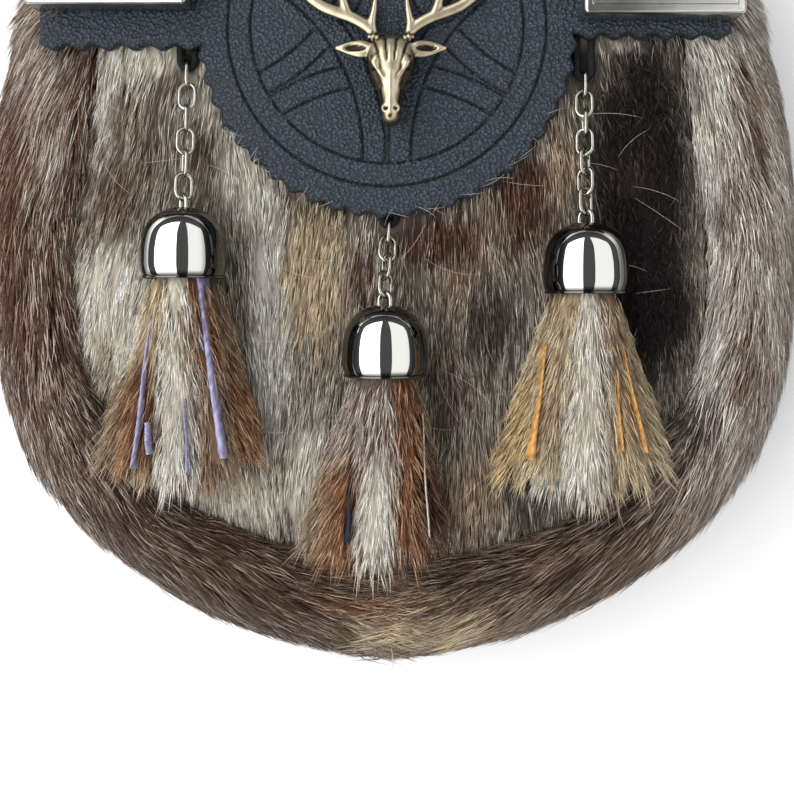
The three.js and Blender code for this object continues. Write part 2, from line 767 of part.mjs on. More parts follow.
function tasselBody(tassel) {
  const head = new THREE.CylinderGeometry(HEAD_R, HEAD_R, HEAD_DEEP + 1.5, 16);
  head.translate(0, (HEAD_DEEP - 1.5) / 2, 0);
  return fuse([head, ...STRIPS.map((row) => strip(tassel, row))]);
}

// Links from the thong to the eye, each turned about the line of the chain by its own roll.
function chainLinks(tassel, thongEnd, eyeEnd) {
  const line = eyeEnd.clone().sub(thongEnd);
  const direction = line.clone().normalize();
  const reach = (LINK_LONG - LINK_WIRE) / 2;
  const firstBack = (THONG_THICK + LINK_WIRE) / 2 + LINK_PLAY;
  const lastOn = (EYE_WIRE + LINK_WIRE) / 2 + LINK_PLAY;
  const first = reach - firstBack;
  const last = line.length() - reach + lastOn;
  const count = tassel.rolls.length;
  const turnDown = new THREE.Quaternion().setFromUnitVectors(new THREE.Vector3(0, -1, 0), direction);
  return tassel.rolls.map((roll, i) => {
    const along = THREE.MathUtils.lerp(first, last, i / (count - 1));
    const link = meshOf(
      `link_${tassel.side}_${i + 1}`,
      wireLoop(LINK_LONG, LINK_WIDE, LINK_WIRE, 5, 5),
      materialOf(CHAIN_METAL, 0.3, 1),
    );
    link.position.copy(thongEnd).addScaledVector(direction, along);
    const turn = new THREE.Quaternion().setFromAxisAngle(direction, THREE.MathUtils.degToRad(roll));
    link.quaternion.copy(turn).multiply(turnDown);
    return link;
  });
}

function tasselGroup(tassel) {
  const group = new THREE.Group();
  const mouthY = tassel.top - CAP_HIGH;

  const cap = meshOf(`cap_${tassel.side}`, capBody(tassel.eyeRoll), materialOf(SMOKED, 0.18, 1));
  cap.position.set(tassel.x, mouthY, CAP_Z);
  const fur = meshOf(`tassel_${tassel.side}`, tasselBody(tassel), materialOf(tassel.colour, 0.8, 0));
  fur.position.copy(cap.position);

  const { x, y } = tassel.thong;
  const thong = meshOf(
    `thong_${tassel.side}`,
    wireLoop(THONG_LONG, THONG_WIDE, THONG_THICK, 5, 6),
    materialOf(LEATHER, 0.7, 0),
  );
  thong.position.set(x, y + THONG_LONG / 2, THONG_Z);

  const thongEnd = new THREE.Vector3(x, y + THONG_THICK / 2, THONG_Z);
  const eyeTop = tassel.top - EYE_SUNK + EYE_LONG - EYE_WIRE / 2;
  const eyeEnd = new THREE.Vector3(tassel.x, eyeTop, CAP_Z);
  group.add(cap, fur, thong, ...chainLinks(tassel, thongEnd, eyeEnd));
  return group;
}

// Belt loops on the back, open along X

function beltLoop() {
  const seat = BACK_Z - GAP;
  const inner = LOOP_OUTER_Z + LOOP_THICK;
  const side = [
    [19, seat], [19, seat - LOOP_THICK], [14.5, seat - LOOP_THICK], [12.5, LOOP_OUTER_Z],
  ];
  const inside = [[11.3, inner], [13.2, seat]];
  const outline = [
    ...side,
    ...side.map(([y, z]) => [-y, z]).reverse(),
    ...inside.map(([y, z]) => [-y, z]).reverse(),
    ...inside,
  ];
  const shape = new THREE.Shape(outline.map(([y, z]) => new THREE.Vector2(y, z)));
  const geometry = new THREE.ExtrudeGeometry(shape, { depth: LOOP_WIDE, bevelEnabled: false });
  geometry.translate(0, 0, -LOOP_WIDE / 2);
  geometry.applyMatrix4(new THREE.Matrix4().makeBasis(
    new THREE.Vector3(0, 1, 0),
    new THREE.Vector3(0, 0, 1),
    new THREE.Vector3(1, 0, 0),
  ));
  return geometry;
}

// The whole sporran

const group = new THREE.Group();

const panel = cut(frontPanel(), [
  ...TASSELS.map((tassel) => thongHollow(tassel.thong)),
  ...TASSELS.map((tassel) => capHollow(tassel)),
]);

group.add(
  meshOf('back_panel', backPanel(), materialOf(LEATHER, 0.6, 0)),
  meshOf('front_panel', panel, materialOf(FUR_MIXED, 0.85, 0)),
  meshOf('flap', flap(), materialOf(LEATHER, 0.6, 0)),
  meshOf('stag_badge', stagBadge(), materialOf(OLD_BRASS, 0.35, 1)),
);

for (const length of RING_LENGTHS) {
  group.add(meshOf(length.name, furGusset(length), materialOf(FUR_DARK, 0.85, 0)));
}

for (const spec of PLATES) {
  group.add(meshOf(spec.name, plate(spec), materialOf(NICKEL, 0.25, 1)));
}

for (const tassel of TASSELS) {
  group.add(tasselGroup(tassel));
}

for (const [name, x] of [['belt_loop_left', -LOOP_X], ['belt_loop_right', LOOP_X]]) {
  const loop = meshOf(name, beltLoop(), materialOf(LEATHER, 0.6, 0));
  loop.position.set(x, LOOP_Y, 0);
  group.add(loop);
}

export default group;
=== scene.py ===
"""Looks of a fur-covered sporran pouch: fur, pinked leather flap, stag badge, plates, chains and tassels.

Sizes are in millimetres in the tables and functions, and in metres in the settings and the meshes.
"""

import math
from collections import namedtuple

import bpy
import numpy as np
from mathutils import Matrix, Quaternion, Vector
from mathutils.geometry import delaunay_2d_cdt


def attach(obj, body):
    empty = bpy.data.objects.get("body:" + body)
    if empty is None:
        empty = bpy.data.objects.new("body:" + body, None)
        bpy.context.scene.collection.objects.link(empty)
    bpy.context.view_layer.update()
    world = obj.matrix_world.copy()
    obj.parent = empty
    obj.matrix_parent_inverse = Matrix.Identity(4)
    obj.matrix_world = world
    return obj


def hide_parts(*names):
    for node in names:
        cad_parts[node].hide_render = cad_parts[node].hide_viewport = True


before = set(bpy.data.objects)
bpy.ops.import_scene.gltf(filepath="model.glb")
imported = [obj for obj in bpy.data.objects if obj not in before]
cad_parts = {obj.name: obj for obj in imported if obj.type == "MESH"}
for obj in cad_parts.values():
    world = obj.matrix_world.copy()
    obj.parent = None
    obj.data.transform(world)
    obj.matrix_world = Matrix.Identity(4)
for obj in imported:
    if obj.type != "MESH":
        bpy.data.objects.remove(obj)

bl_info = {
    "name": "Fur sporran",
    "version": (1, 0, 0),
    "blender": (4, 5, 0),
    "location": "3D View > Sidebar > Sporran",
    "description": "Dresses a fur-covered sporran pouch with hair, grained leather and polished metal",
    "category": "Object",
}

MM = 0.001
BODY = "root"
GAP = 0.3
LEAST = 1e-9
COAT = "coat"
GRAIN = "leather grain"

# Starts of the hair's random draws, added to the seed that a user sets
PANEL_SEED = 40
STRAY_SEED = 45
TASSEL_SEEDS = {"left": 50, "middle": 60, "right": 70}

# Starts of the other draws: the waves of the cut edges, the sag of the flap and the badge's patina
EDGE_SEED = 90
SAG_SEED = 12
PATINA_SEED = 5

# The round side wall of fur: its front seam, its outer line and its height, from the right end to the middle
RING_ROWS = [
    # seam x, seam y, fur x, fur y, tall
    (63.0, 84.5, 84.0, 86.0, 0.48),
    (65.5, 77.0, 88.0, 76.5, 0.64),
    (68.5, 66.0, 92.5, 67.5, 0.92),
    (71.1, 54.0, 95.2, 57.0, 0.97),
    (73.4, 34.0, 99.2, 38.0, 1.0),
    (77.2, 10.0, 101.7, 12.0, 1.0),
    (77.4, -9.0, 101.2, -11.0, 1.0),
    (74.0, -26.0, 98.3, -29.5, 1.0),
    (66.5, -40.5, 91.6, -48.0, 1.0),
    (54.5, -54.3, 76.5, -66.8, 1.0),
    (37.5, -63.8, 53.0, -83.6, 1.0),
    (19.0, -69.6, 27.0, -94.0, 1.0),
    (0.0, -71.4, 0.0, -98.1, 1.0),
]
RING_END_Z = 26.0
RING_LENGTHS = {
    # the part of the way round, from the right end, and a number for its own random draws
    "fur_gusset_right": (0.0, 1 / 3, 10),
    "fur_gusset_bottom": (1 / 3, 2 / 3, 20),
    "fur_gusset_left": (2 / 3, 1.0, 30),
}
RING_FULL_WIDTH = 29.2
RING_FUR_SECTION = [
    # out from the seam, height
    (0.15, 36.4), (3.4, 40.0), (9.4, 42.0), (16.4, 40.3), (22.6, 35.4), (27.2, 28.4), (29.2, 20.4),
    (28.6, 12.4), (25.4, 5.4), (20.4, 1.0), (14.6, 0.0), (11.0, 2.4), (9.6, 5.6),
]
RING_INNER_SECTION = [
    # out from the seam, height
    (9.6, 7.8), (15.2, 10.2), (18.4, 16.6), (18.4, 24.0), (15.4, 31.0), (9.6, 34.8), (4.0, 34.8),
    (0.15, 32.8),
]

PANEL_TOP_Y = 72.0
PANEL_EDGE_TOP = 36.3
PANEL_EDGE_UNDER = 32.8
PANEL_DOME = 2.2
PANEL_PILE = 2.6
PANEL_PILE_RISE = 12.0

FLAP_THICK = 2.4
FLAP_TOP = 44.4
FLAP_LEFT = -83.1
FLAP_RIGHT = 80.6
FOLD_TOP_Y = 98.1
TAIL_UNDER = 8.1
TAIL_LENGTH = 18.0
TAIL_HALF_WIDE = 60.0
FOLD_R = (FLAP_TOP - TAIL_UNDER) / 2
FOLD_Y = FOLD_TOP_Y - FOLD_R
FOLD_Z = TAIL_UNDER + FOLD_R
DISC = (-0.9, 56.7)
DISC_R = 44.6
DISC_TEETH_STEP = 5.6
WING_LEFT_Y = 52.6
WING_RIGHT_Y = 55.2
WING_TEETH_STEP = 6.2
TOOTH = 1.3
GROOVE_RADII = (37.7, 32.3)

PLATE_WIDE = 37.4
PLATE_TALL = 22.0
PLATE_CORNER = 1.2
PLATES = {"plate_left": (-65.3, 71.0), "plate_right": (63.1, 68.8)}
BADGE_X = 0.1
BADGE_BASE = FLAP_TOP + GAP

LINK_WIRE = 0.85
LINK_ROUND = 0.95
LINK_LONG = 7.4
LINK_WIDE = 4.7
LINK_PLAY = 0.15
LINK_END_POINTS = 9
LINK_SIDES = 9
THONG_THICK = 1.8
THONG_LONG = 14.0
THONG_WIDE = 5.4
THONG_Z = 40.8
THONG_PRESS = 0.12
THONG_END_POINTS = 13
THONG_SIDES = 12
EYE_WIRE = 1.1
EYE_WIDE = 5.0
EYE_LONG = 6.0
EYE_SUNK = 2.6
EYE_END_POINTS = 15
EYE_SIDES = 10
CAP_R = 9.95
CAP_HIGH = 16.6
CAP_Z = 49.4
# The painted shade on a cap's sides, as a share of its colour
CAP_SIDE_SHADE = 0.17
HEAD_R = 8.65
TASSEL_UNDER = 42.7
TASSEL_CURL = 0.1
STRIP_THICK = 6.0
STRIP_INSIDE = 1.5
STRIP_SWELL = [
    # share of the length, width, thickness
    (0.0, 0.5, 0.5), (0.09, 0.85, 0.9), (0.4, 1.05, 1.0), (0.78, 0.95, 0.9), (1.0, 0.15, 0.2),
]
STRIPS = [
    # side, layer, long, wide, fan in degrees
    (-1.0, 0, 0.9, 8.0, -14.0),
    (-0.42, 0, 0.97, 9.0, -4.0),
    (0.3, 0, 1.0, 9.0, 3.0),
    (1.0, 0, 0.88, 8.0, 14.0),
    (-0.68, 1, 0.93, 8.5, -9.0),
    (0.02, 1, 0.99, 10.0, 0.0),
    (0.66, 1, 0.94, 8.5, 6.0),
]
TASSELS = {
    "left": {
        "x": -47.9, "top": 13.6, "long": 51.0, "spread": 17.0, "lean": -2.2,
        "thong": (-48.7, 46.8), "rolls": (88, 0, 78, -20, 66, -28), "eye_roll": -60,
    },
    "middle": {
        "x": -1.3, "top": -9.0, "long": 47.0, "spread": 14.0, "lean": -3.4,
        "thong": (-0.6, 9.2), "rolls": (84, -14, 62, -46), "eye_roll": -44,
    },
    "right": {
        "x": 45.2, "top": 10.1, "long": 50.0, "spread": 18.5, "lean": -0.2,
        "thong": (46.1, 44.4), "rolls": (86, 10, 88, 22, -52, 40, -40), "eye_roll": -50,
    },
}

# Coats of hair: the colour near the skin, of the hair and of its palest hairs, the share of those, the curl
COATS = {
    "cream": ((156, 146, 126), (238, 232, 216), (251, 249, 241), 0.55, 0.05),
    "white": ((158, 152, 142), (232, 228, 218), (250, 248, 243), 0.6, 0.06),
    "sand": ((124, 104, 78), (204, 184, 150), (232, 218, 190), 0.4, 0.06),
    "gold": ((124, 96, 60), (204, 176, 128), (234, 214, 172), 0.4, 0.08),
    "tan": ((84, 64, 48), (156, 130, 104), (212, 194, 168), 0.4, 0.08),
    "grey": ((62, 55, 49), (148, 138, 124), (224, 217, 203), 0.45, 0.06),
    "brown": ((38, 27, 21), (98, 76, 61), (190, 174, 156), 0.28, 0.1),
    "red_brown": ((30, 17, 12), (88, 53, 38), (172, 142, 122), 0.2, 0.1),
    "rust": ((62, 36, 24), (138, 88, 60), (222, 190, 150), 0.4, 0.1),
    "dark": ((20, 14, 12), (56, 42, 37), (130, 114, 106), 0.16, 0.25),
    "chocolate": ((10, 7, 6), (27, 18, 17), (84, 64, 66), 0.1, 0.6),
    "lilac": ((26, 15, 10), (98, 64, 46), (242, 228, 212), 0.36, 0.07),
    "frost": ((48, 37, 31), (152, 132, 118), (250, 245, 238), 0.5, 0.06),
}

# Patches of coat on the front, in place of the plain one, each as an oval
PANEL_COAT = "grey"
PANEL_PATCHES = [
    # coat, x, y, half width, half height, strength
    ("cream", -62.3, 51.0, 15.0, 6.0, 1.0),
    ("cream", -72.3, 41.0, 6.5, 13.0, 1.0),
    ("red_brown", -64.8, 40.0, 3.2, 7.0, 0.7),
    ("brown", -54.3, 43.5, 2.2, 6.0, 0.5),
    ("brown", -58.8, 27.0, 4.0, 12.0, 0.6),
    ("brown", -72.3, 27.0, 4.5, 6.0, 0.7),
    ("red_brown", -66.3, 15.0, 5.0, 10.0, 0.7),
    ("brown", -74.3, 10.0, 6.0, 9.0, 0.7),
    ("cream", -44.3, 43.0, 5.5, 12.0, 0.8),
    ("brown", -45.3, 27.5, 2.8, 6.0, 0.8),
    ("cream", -34.3, 20.0, 7.0, 14.0, 0.8),
    ("cream", -68.3, -14.0, 14.0, 20.0, 1.0),
    ("tan", -69.3, -25.0, 3.2, 9.0, 0.7),
    ("grey", -36.3, -18.0, 6.0, 28.0, 0.8),
    ("white", -29.3, -14.0, 5.0, 30.0, 0.9),
    ("sand", -18.3, -3.0, 9.0, 19.0, 0.95),
    ("brown", -16.3, 14.0, 8.0, 4.0, 0.6),
    ("red_brown", -7.3, -3.0, 4.0, 9.0, 0.7),
    ("red_brown", 12.7, 6.0, 13.0, 8.0, 0.95),
    ("tan", 14.7, -7.0, 5.0, 8.0, 0.75),
    ("dark", 23.7, -15.0, 6.0, 11.0, 0.85),
    ("brown", 13.7, -31.0, 6.0, 13.0, 0.8),
    ("tan", 22.7, 7.0, 3.5, 9.0, 0.6),
    ("red_brown", 31.7, 14.0, 8.0, 14.0, 0.95),
    ("tan", 40.7, 24.0, 4.0, 13.0, 0.75),
    ("chocolate", 59.7, 21.0, 14.0, 38.0, 1.0),
    ("chocolate", 62.7, -12.0, 12.0, 18.0, 1.0),
    # Painted sheen: a paler patch on the near-black fur where it shines
    ("dark", 57.2, 21.0, 6.0, 5.0, 0.7),
    ("cream", 54.7, 53.4, 7.0, 2.0, 0.9),
    ("cream", -20.3, -52.0, 5.0, 15.0, 0.9),
    ("tan", 18.7, -56.0, 9.0, 10.0, 0.85),
    ("dark", 32.7, -55.0, 6.0, 9.0, 0.85),
    ("cream", -37.3, -58.0, 14.0, 8.0, 0.85),
    ("grey", -44.3, -51.0, 7.0, 4.0, 0.6),
    # Painted shadow: a near-black coat round each thong, where the loop shades the fur
    ("chocolate", -48.7, 49.5, 2.6, 4.5, 1.0),
    ("chocolate", 46.1, 48.0, 3.4, 6.0, 1.0),
]

# Patches of coat round the side wall, given in the same way
RING_COAT = "brown"
RING_PATCHES = [
    ("lilac", -95.3, -10.0, 60.0, 90.0, 1.0),
    ("frost", 89.7, 10.0, 42.0, 85.0, 1.0),
    ("brown", 38.7, -78.0, 40.0, 22.0, 0.9),
    ("frost", -85.3, 50.0, 9.0, 10.0, 0.45),
    ("red_brown", -91.3, 12.0, 5.5, 26.0, 0.75),
    ("brown", -77.8, 48.0, 4.0, 10.0, 0.6),
    ("frost", -82.3, 30.0, 2.6, 18.0, 0.6),
    ("red_brown", -88.3, -18.0, 5.0, 9.0, 0.8),
    ("red_brown", -39.3, -67.0, 7.0, 3.5, 0.6),
    ("dark", -55.3, -62.0, 20.0, 8.0, 0.4),
    ("rust", -5.3, -80.0, 9.0, 5.0, 0.6),
    ("sand", 6.7, -89.0, 17.0, 6.0, 0.85),
    ("dark", 20.7, -76.0, 10.0, 4.0, 0.6),
    ("dark", 50.7, -62.0, 12.0, 5.0, 0.5),
    ("cream", 75.5, 15.0, 4.5, 50.0, 0.65),
    ("cream", 74.5, -22.0, 6.0, 14.0, 0.6),
    ("brown", 84.2, -25.0, 4.5, 10.0, 0.85),
    ("dark", 70.7, -39.0, 6.0, 7.0, 0.85),
    ("cream", 76.7, 47.0, 6.0, 8.0, 0.6),
    ("brown", 74.2, 42.0, 2.4, 5.0, 0.6),
    ("red_brown", 85.7, 39.0, 4.5, 4.5, 0.85),
    ("red_brown", 87.7, 28.0, 4.5, 6.0, 0.75),
    ("brown", 80.2, 11.0, 4.0, 7.0, 0.6),
    ("cream", 92.7, 5.0, 4.0, 30.0, 0.4),
]

# Coats of each strip of a tassel, above and below its middle, in the order of STRIPS
STRIP_COATS = {
    "left": [
        ("cream", "tan"), ("cream", "sand"), ("rust", "rust"), ("tan", "rust"),
        ("sand", "rust"), ("cream", "cream"), ("rust", "tan"),
    ],
    "middle": [
        ("frost", "tan"), ("tan", "rust"), ("frost", "brown"), ("tan", "red_brown"),
        ("frost", "rust"), ("frost", "cream"), ("rust", "rust"),
    ],
    "right": [
        ("sand", "gold"), ("sand", "cream"), ("tan", "sand"), ("sand", "sand"),
        ("sand", "sand"), ("cream", "cream"), ("tan", "sand"),
    ],
}

# Cut edges of the hide that show between the strips
EDGES = [
    # tassel, colour, start x, start y, end x, end y, start width, end width
    ("left", "lavender", -43.4, -1.5, -38.6, -44.2, 1.5, 1.9),
    ("left", "lavender", -54.0, -11.5, -59.4, -46.5, 0.8, 1.0),
    ("left", "lavender", -55.9, -36.0, -55.6, -43.3, 1.1, 1.2),
    ("left", "lavender", -47.0, -30.6, -46.6, -47.6, 0.5, 0.9),
    ("middle", "navy", -9.0, -43.6, -9.7, -63.3, 0.4, 1.7),
    ("middle", "pale", 7.3, -34.0, 8.9, -62.2, 0.4, 0.5),
    ("right", "orange", 35.6, -18.1, 32.4, -44.5, 0.7, 2.4),
    ("right", "orange", 51.6, -24.0, 53.3, -42.6, 0.6, 0.8),
    ("right", "orange", 52.7, -18.1, 59.0, -43.0, 0.6, 0.7),
]
EDGE_COLOURS = {
    "lavender": (158, 156, 190), "navy": (32, 37, 56), "pale": (206, 196, 188), "orange": (204, 152, 86),
}
EDGE_TOP = 53.4
EDGE_DROP = 4.0
EDGE_UNDER = 45.0

# The stag's head down its length, and one antler with x outwards from the middle
HEAD_SECTIONS = [
    # y, wide, thick, z
    (53.6, 5.2, 2.4, 2.0), (52.0, 9.2, 5.0, 2.9), (48.7, 10.6, 6.8, 3.7), (44.7, 9.5, 7.0, 4.0),
    (41.4, 6.6, 6.4, 4.1), (38.2, 4.7, 5.8, 4.2), (35.8, 4.9, 6.0, 4.2), (33.6, 4.0, 4.6, 3.8),
    (32.6, 2.0, 2.4, 3.0),
]
ANTLER = {
    "beam": [
        (3.4, 51.2, 1.7), (3.9, 53.2, 1.35), (5.0, 55.6, 1.35), (9.0, 58.2, 1.4), (16.6, 61.2, 1.35),
        (21.6, 66.0, 1.3), (23.8, 72.0, 1.15), (22.8, 78.5, 0.95), (19.6, 84.0, 0.4),
    ],
    "brow_tine": [(4.0, 53.4, 1.1), (4.5, 57.0, 1.05), (4.0, 60.0, 0.8), (3.6, 63.4, 0.35)],
    "second_tine": [(10.0, 58.6, 1.15), (11.4, 63.0, 1.05), (11.8, 69.0, 0.35)],
    "inner_tine": [(21.2, 65.6, 1.1), (19.0, 70.6, 0.95), (16.4, 75.6, 0.35)],
    "outer_tine": [(23.6, 71.4, 1.05), (26.4, 75.6, 0.9), (28.0, 80.6, 0.35)],
}
ANTLER_Z = 1.5
ANTLER_FLAT = 1.9
EAR = [(3.6, 50.2, 2.0, 1.8), (6.4, 50.4, 4.2, 2.0), (9.6, 50.6, 3.4, 1.6), (13.0, 50.7, 0.7, 0.8)]
EAR_Z = 3.4

# The hide of the side wall and of the front, under the hair, and how far it has the hair's colour
HIDE_INSET = 1.5
HIDE_LOWEST = 0.4
HAIR_LOWEST = 0.1
HIDE_COLOUR = 0.25
RING_STATIONS = 181
RING_OUTER_POINTS = 33
RING_INNER_POINTS = 15
PANEL_END = 0.492
PANEL_COLUMNS = 61
PANEL_ROWS = 110
PANEL_HIDE_DROP = 0.9
SEAM_POINTS = 400
SEAM_COARSE_POINTS = 260

# The columns of a coat's row of numbers
SKIN = slice(0, 3)
HAIR = slice(3, 6)
PALE = slice(6, 9)
PALE_SHARE = 9
CURL = 10

# Patches fade between two shares of their half sizes, and end in streaks
PATCH_FADE = (0.6, 1.25)
STREAK_WAVE = 9
STREAK_BEND = 1.6
STREAK_LONG = 2.8
STREAK_WIDE = 0.6
WAVE_SIZES = (0.7, 1.5)

# A hair against its lock: how it turns, lies, starts and ends, and its share of length, width and brightness
HAIR_ASKEW = (0.12, 0.2, 1.0)
HAIR_TURN = 0.05
CURL_TURN = 0.9
CURL_POWER = 1.5
LIE_FLAT = 0.85
ROOT_SPREAD = 0.35
ROOT_DEPTHS = (0.5, 1)
LOCK_LENGTHS = (0.65, 1.15)
HAIR_LENGTHS = (0.75, 1.1)
CURL_SHORTENS = 0.5
TIP_HEIGHT = 0.35
TIP_SCATTER = 0.6
TIP_GATHER = 3
CURL_LIFT = 1.6
HAIR_MIDDLE = 0.45
HAIR_BOWS = (0.05, 0.11)
HAIR_SWAY = 0.03
HAIR_WIDTHS = (0.7, 1.2)
LOCK_SHADES = (0.62, 1.25)
HAIR_SHADES = (0.68, 1.25)
PALE_IN_BASE = 0.6
PALE_IN_TIP = 0.2
BASE_IN_ROOT = 0.4

# Locks of hair: hairs in one, its width, the rise of its tips, the depth of its roots, the width of a hair
# as a share of the set one, and how far along a hair its coat is taken from
Lock = namedtuple("Lock", "hairs wide lift deep fine reach")
SIDE_LOCK = Lock(hairs=6, wide=1.5, lift=0.7, deep=1.6, fine=1.0, reach=0.6)
FRONT_LOCK = Lock(hairs=5, wide=1.0, lift=0.35, deep=1.3, fine=0.9, reach=0.55)
TASSEL_LOCK = Lock(hairs=4, wide=1.1, lift=0.6, deep=0.9, fine=0.85, reach=0.5)

# Hair of the side wall. Places in the tables are shares of the way from the seam to the back
RING_HAIR_GRID = (90, 40)
RING_MIDDLE = (14.0, 20.0)
RING_LEANS = [
    # place, turn from straight down the side wall, in degrees outwards
    (0.0, -14), (0.12, -2), (0.3, 8), (0.5, 18), (1.0, 12),
]
RING_THICKNESS = [
    # place, how close the locks stand
    (0, 1.0), (0.55, 1.0), (0.75, 0.45), (1, 0.3),
]
BOTTOM_REACH = 0.2
BOTTOM_LEAN_SHARE = 0.6
BOTTOM_LEAN = 8
SHOULDER_LEAN = 20
SHOULDER_Y = (10, 65)
RING_WAVE_LEAN = 7
RING_WAVE = 22
RIM = (0.42, 0.62)
RIM_PALE = 0.6
RIM_SHORTENS = 0.45
CORNER_SHORTENS = 0.3
CORNER_Y = (35, 60)

# Hair of the front, thin under the wings, under the disc from one distance inside its edge to another, and
# parted by a thong
PANEL_HAIR_COLUMNS = 60
PANEL_HAIR_ROWS = 90
PANEL_LEANS = [
    # x, lean from straight down in degrees, positive towards +X
    (-80, -16), (-60, -12), (-45, -6), (-37, 6), (-31, 8), (-27, -6), (-17, -8), (-1, -4), (25, 2), (55, 8),
    (75, 0),
]
PANEL_WAVE_LEAN = 5
PANEL_WAVE = 18
UNDER_WINGS_Y = (58, 64)
UNDER_WINGS_THIN = 0.9
UNDER_DISC = (9, 4)
UNDER_DISC_THIN = 0.95
THONG_PART = 2.8

# Loose pale hairs: one in four lies on the disc's edge, the others anywhere on the front
STRAY_HAIRS = 110
STRAY_ON_DISC = 4
STRAY_ANGLES = (205, 335)
STRAY_ABOVE_FLAP = 0.5
STRAY_DISC_REACH = (2, 7)
STRAY_X = (-66, 64)
STRAY_Y = (-58, 40)
STRAY_Z = 43.4
STRAY_REACH = (5, 15)
STRAY_BEND = 0.35
STRAY_ARCH = 0.4
STRAY_R = 0.036
STRAY_TAPER = 0.7
STRAY_POINTS = 14
STRAY_SIDES = 3
STRAY_COLOUR = (214, 206, 194)

# Strips of a tassel: where they start in the cap and how they spread. A grid gives stations, sides and scale
STRIP_START = 0.5
STRIP_STRAIGHT = 0.75
STRIP_CROWD = 0.45
STRIP_HEAP = 3.4
STRIP_HEAP_FALL = 0.5
STRIP_SETTLE = 0.7
STRIP_END = 0.9
STRIP_HAIR_START = 0.02
STRIP_HIDE_GRID = (16, 15, 0.78)
STRIP_HAIR_GRID = (24, 25, 0.95)
STRIP_HIDE_COLOUR = 0.3
STRIP_FAN_REACH = (0.1, 0.6)
STRIP_SIDE_FAN = 20
STRIP_FACING = (0.4, 0, 1.0)
STRIP_UNDER_HAIR = 0.35
STRIP_UNDER_TURN = (-0.5, 0.5)
STRIP_COAT_BLEND = 4
STRIP_COAT_SCATTER = 1.5
EDGE_CLEAR_REACH = 0.35
EDGE_CLEAR_BEFORE = 0.05
TINY = 1e-6

# Cut edges of hide: their points, waves, roughness, squareness and shades
EDGE_POINTS = 40
EDGE_SIDES = 12
EDGE_WAVE = 0.12
EDGE_WAVES = 7
EDGE_JITTER = 0.02
EDGE_ROUGH = 0.04
EDGE_FLARE = 3
EDGE_SQUARE = 0.6
EDGE_DROP_Y = (-50, 0)
EDGE_RAISE = 0.3
EDGE_SHADES = (0.45, 1.15)

# A cap's profile: its crown, its mouth, its rolled rim and its inside
CAP_CROWN = [
    # out from the axis, down from the top
    (0, 0), (1.9, 0.12), (3.6, 0.5), (6.7, 2.2), (8.8, 5.0), (9.72, 8.6), (CAP_R, 12),
]
CAP_MOUTH = [
    # out from the axis, up from the lowest point
    (9.86, 2.6), (9.5, 1.0), (9.3, 0.62),
]
CAP_RIM_OUT = 9.3
CAP_RIM_R = 0.34
CAP_RIM_TURN = (60, -150)
CAP_INSIDE = [
    # out from the axis, up from the lowest point
    (8.95, 1.2), (8.95, 9.3), (0, 11),
]
CAP_PROFILE_POINTS = 60
CAP_RIM_POINTS = 12
CAP_SIDES = 72
CAP_POLE = 0.01

# Painted shade on a cap: its colour is full only on its faces that look forwards, as sines, and darker down
# from its top and up from its rim
CAP_FRONT = (0.7, 0.85)
CAP_CROWN_SHADE = 0.8
CAP_CROWN_DOWN = (4.2, 2.2)
CAP_RIM_UP = (0.9, 1.9)

# A corner plate's profile
PLATE_PROFILE = [
    # inset from the plate's edge, height
    (0.9, 0.0), (0.25, 0.15), (0.0, 0.6), (0.0, 6.6), (0.12, 7.1), (0.45, 7.45), (0.9, 7.6), (1.9, 7.6),
    (2.05, 7.42), (2.2, 7.6), (2.4, 7.6), (2.55, 7.1), (3.2, 7.1), (3.3, 6.95), (3.4, 7.1), (10.0, 7.12),
]
PLATE_LEAST_CORNER = 0.15
PLATE_CORNER_POINTS = 7
PLATE_CREASE = 35

# Round parts of the badge
BADGE_FOOT = [
    # centre, radii
    ((0, 46, 0.8), (3.4, 3.4, 1.0)),
    ((0, 46, 0.8), (2.4, 2.4, 0.8)),
]
BADGE_PAIRS = [
    # centre on the right side, radii: brows, nostrils and burrs
    ((3.0, 46.8, 6.2), (1.5, 2.2, 1.0)),
    ((1.25, 36.2, 6.2), (1.1, 1.2, 0.9)),
    ((4.0, 53.3, 2.2), (1.7, 0.9, 1.7)),
]
ANTLER_THIN = 0.4
ANTLER_FULL_R = 1.4
HEAD_SIDES = 24

# Relief of the badge, the same on both sides of its middle
HEAD_RIDGES = [
    # height, out from the middle, at y, outwards for each step up, width, y where it fades in and out
    (0.45, 2.0, 43.5, 0.62, 0.55, (42.0, 44.0), (47.2, 48.6)),
    (-0.75, 2.7, 41.8, 0.42, 0.5, (40.6, 42.2), (44.6, 46.0)),
    (-0.6, 2.15, 37.0, 0.14, 0.34, (36.9, 38.2), (41.2, 42.8)),
    (0.25, 0.0, 37.5, 0.0, 0.8, (37.5, 39.5), (43.5, 45.5)),
]
HEAD_PITS = [
    # depth, out from the middle, y, scale across and along, where it fades out: ear, nostril and mouth
    (0.9, 8.3, 50.6, 1 / 3.0, 1 / 0.95, (0.55, 1.0)),
    (0.8, 1.2, 36.15, 1, 0.9, (0.25, 0.62)),
    (0.3, 0.0, 34.4, 0.8, 1, (0.1, 0.75)),
]
FAN_DEEP = 0.32
FAN_CENTRE_Y = 38.5
FAN_LEAST = 0.5
FAN_GROOVES = 5.2
FAN_SHARP = 6
FAN_Y_IN = (46.2, 48.2)
FAN_Y_OUT = (52.2, 53.6)
FAN_X_OUT = (3.9, 5.0)
BURR = (4.0, 53.3)
BURR_FADE = (1.0, 1.9)
BURR_HIGH = 0.22
BURR_TWIST = (0.9, 0.35)
BURR_BEADS = 6.5
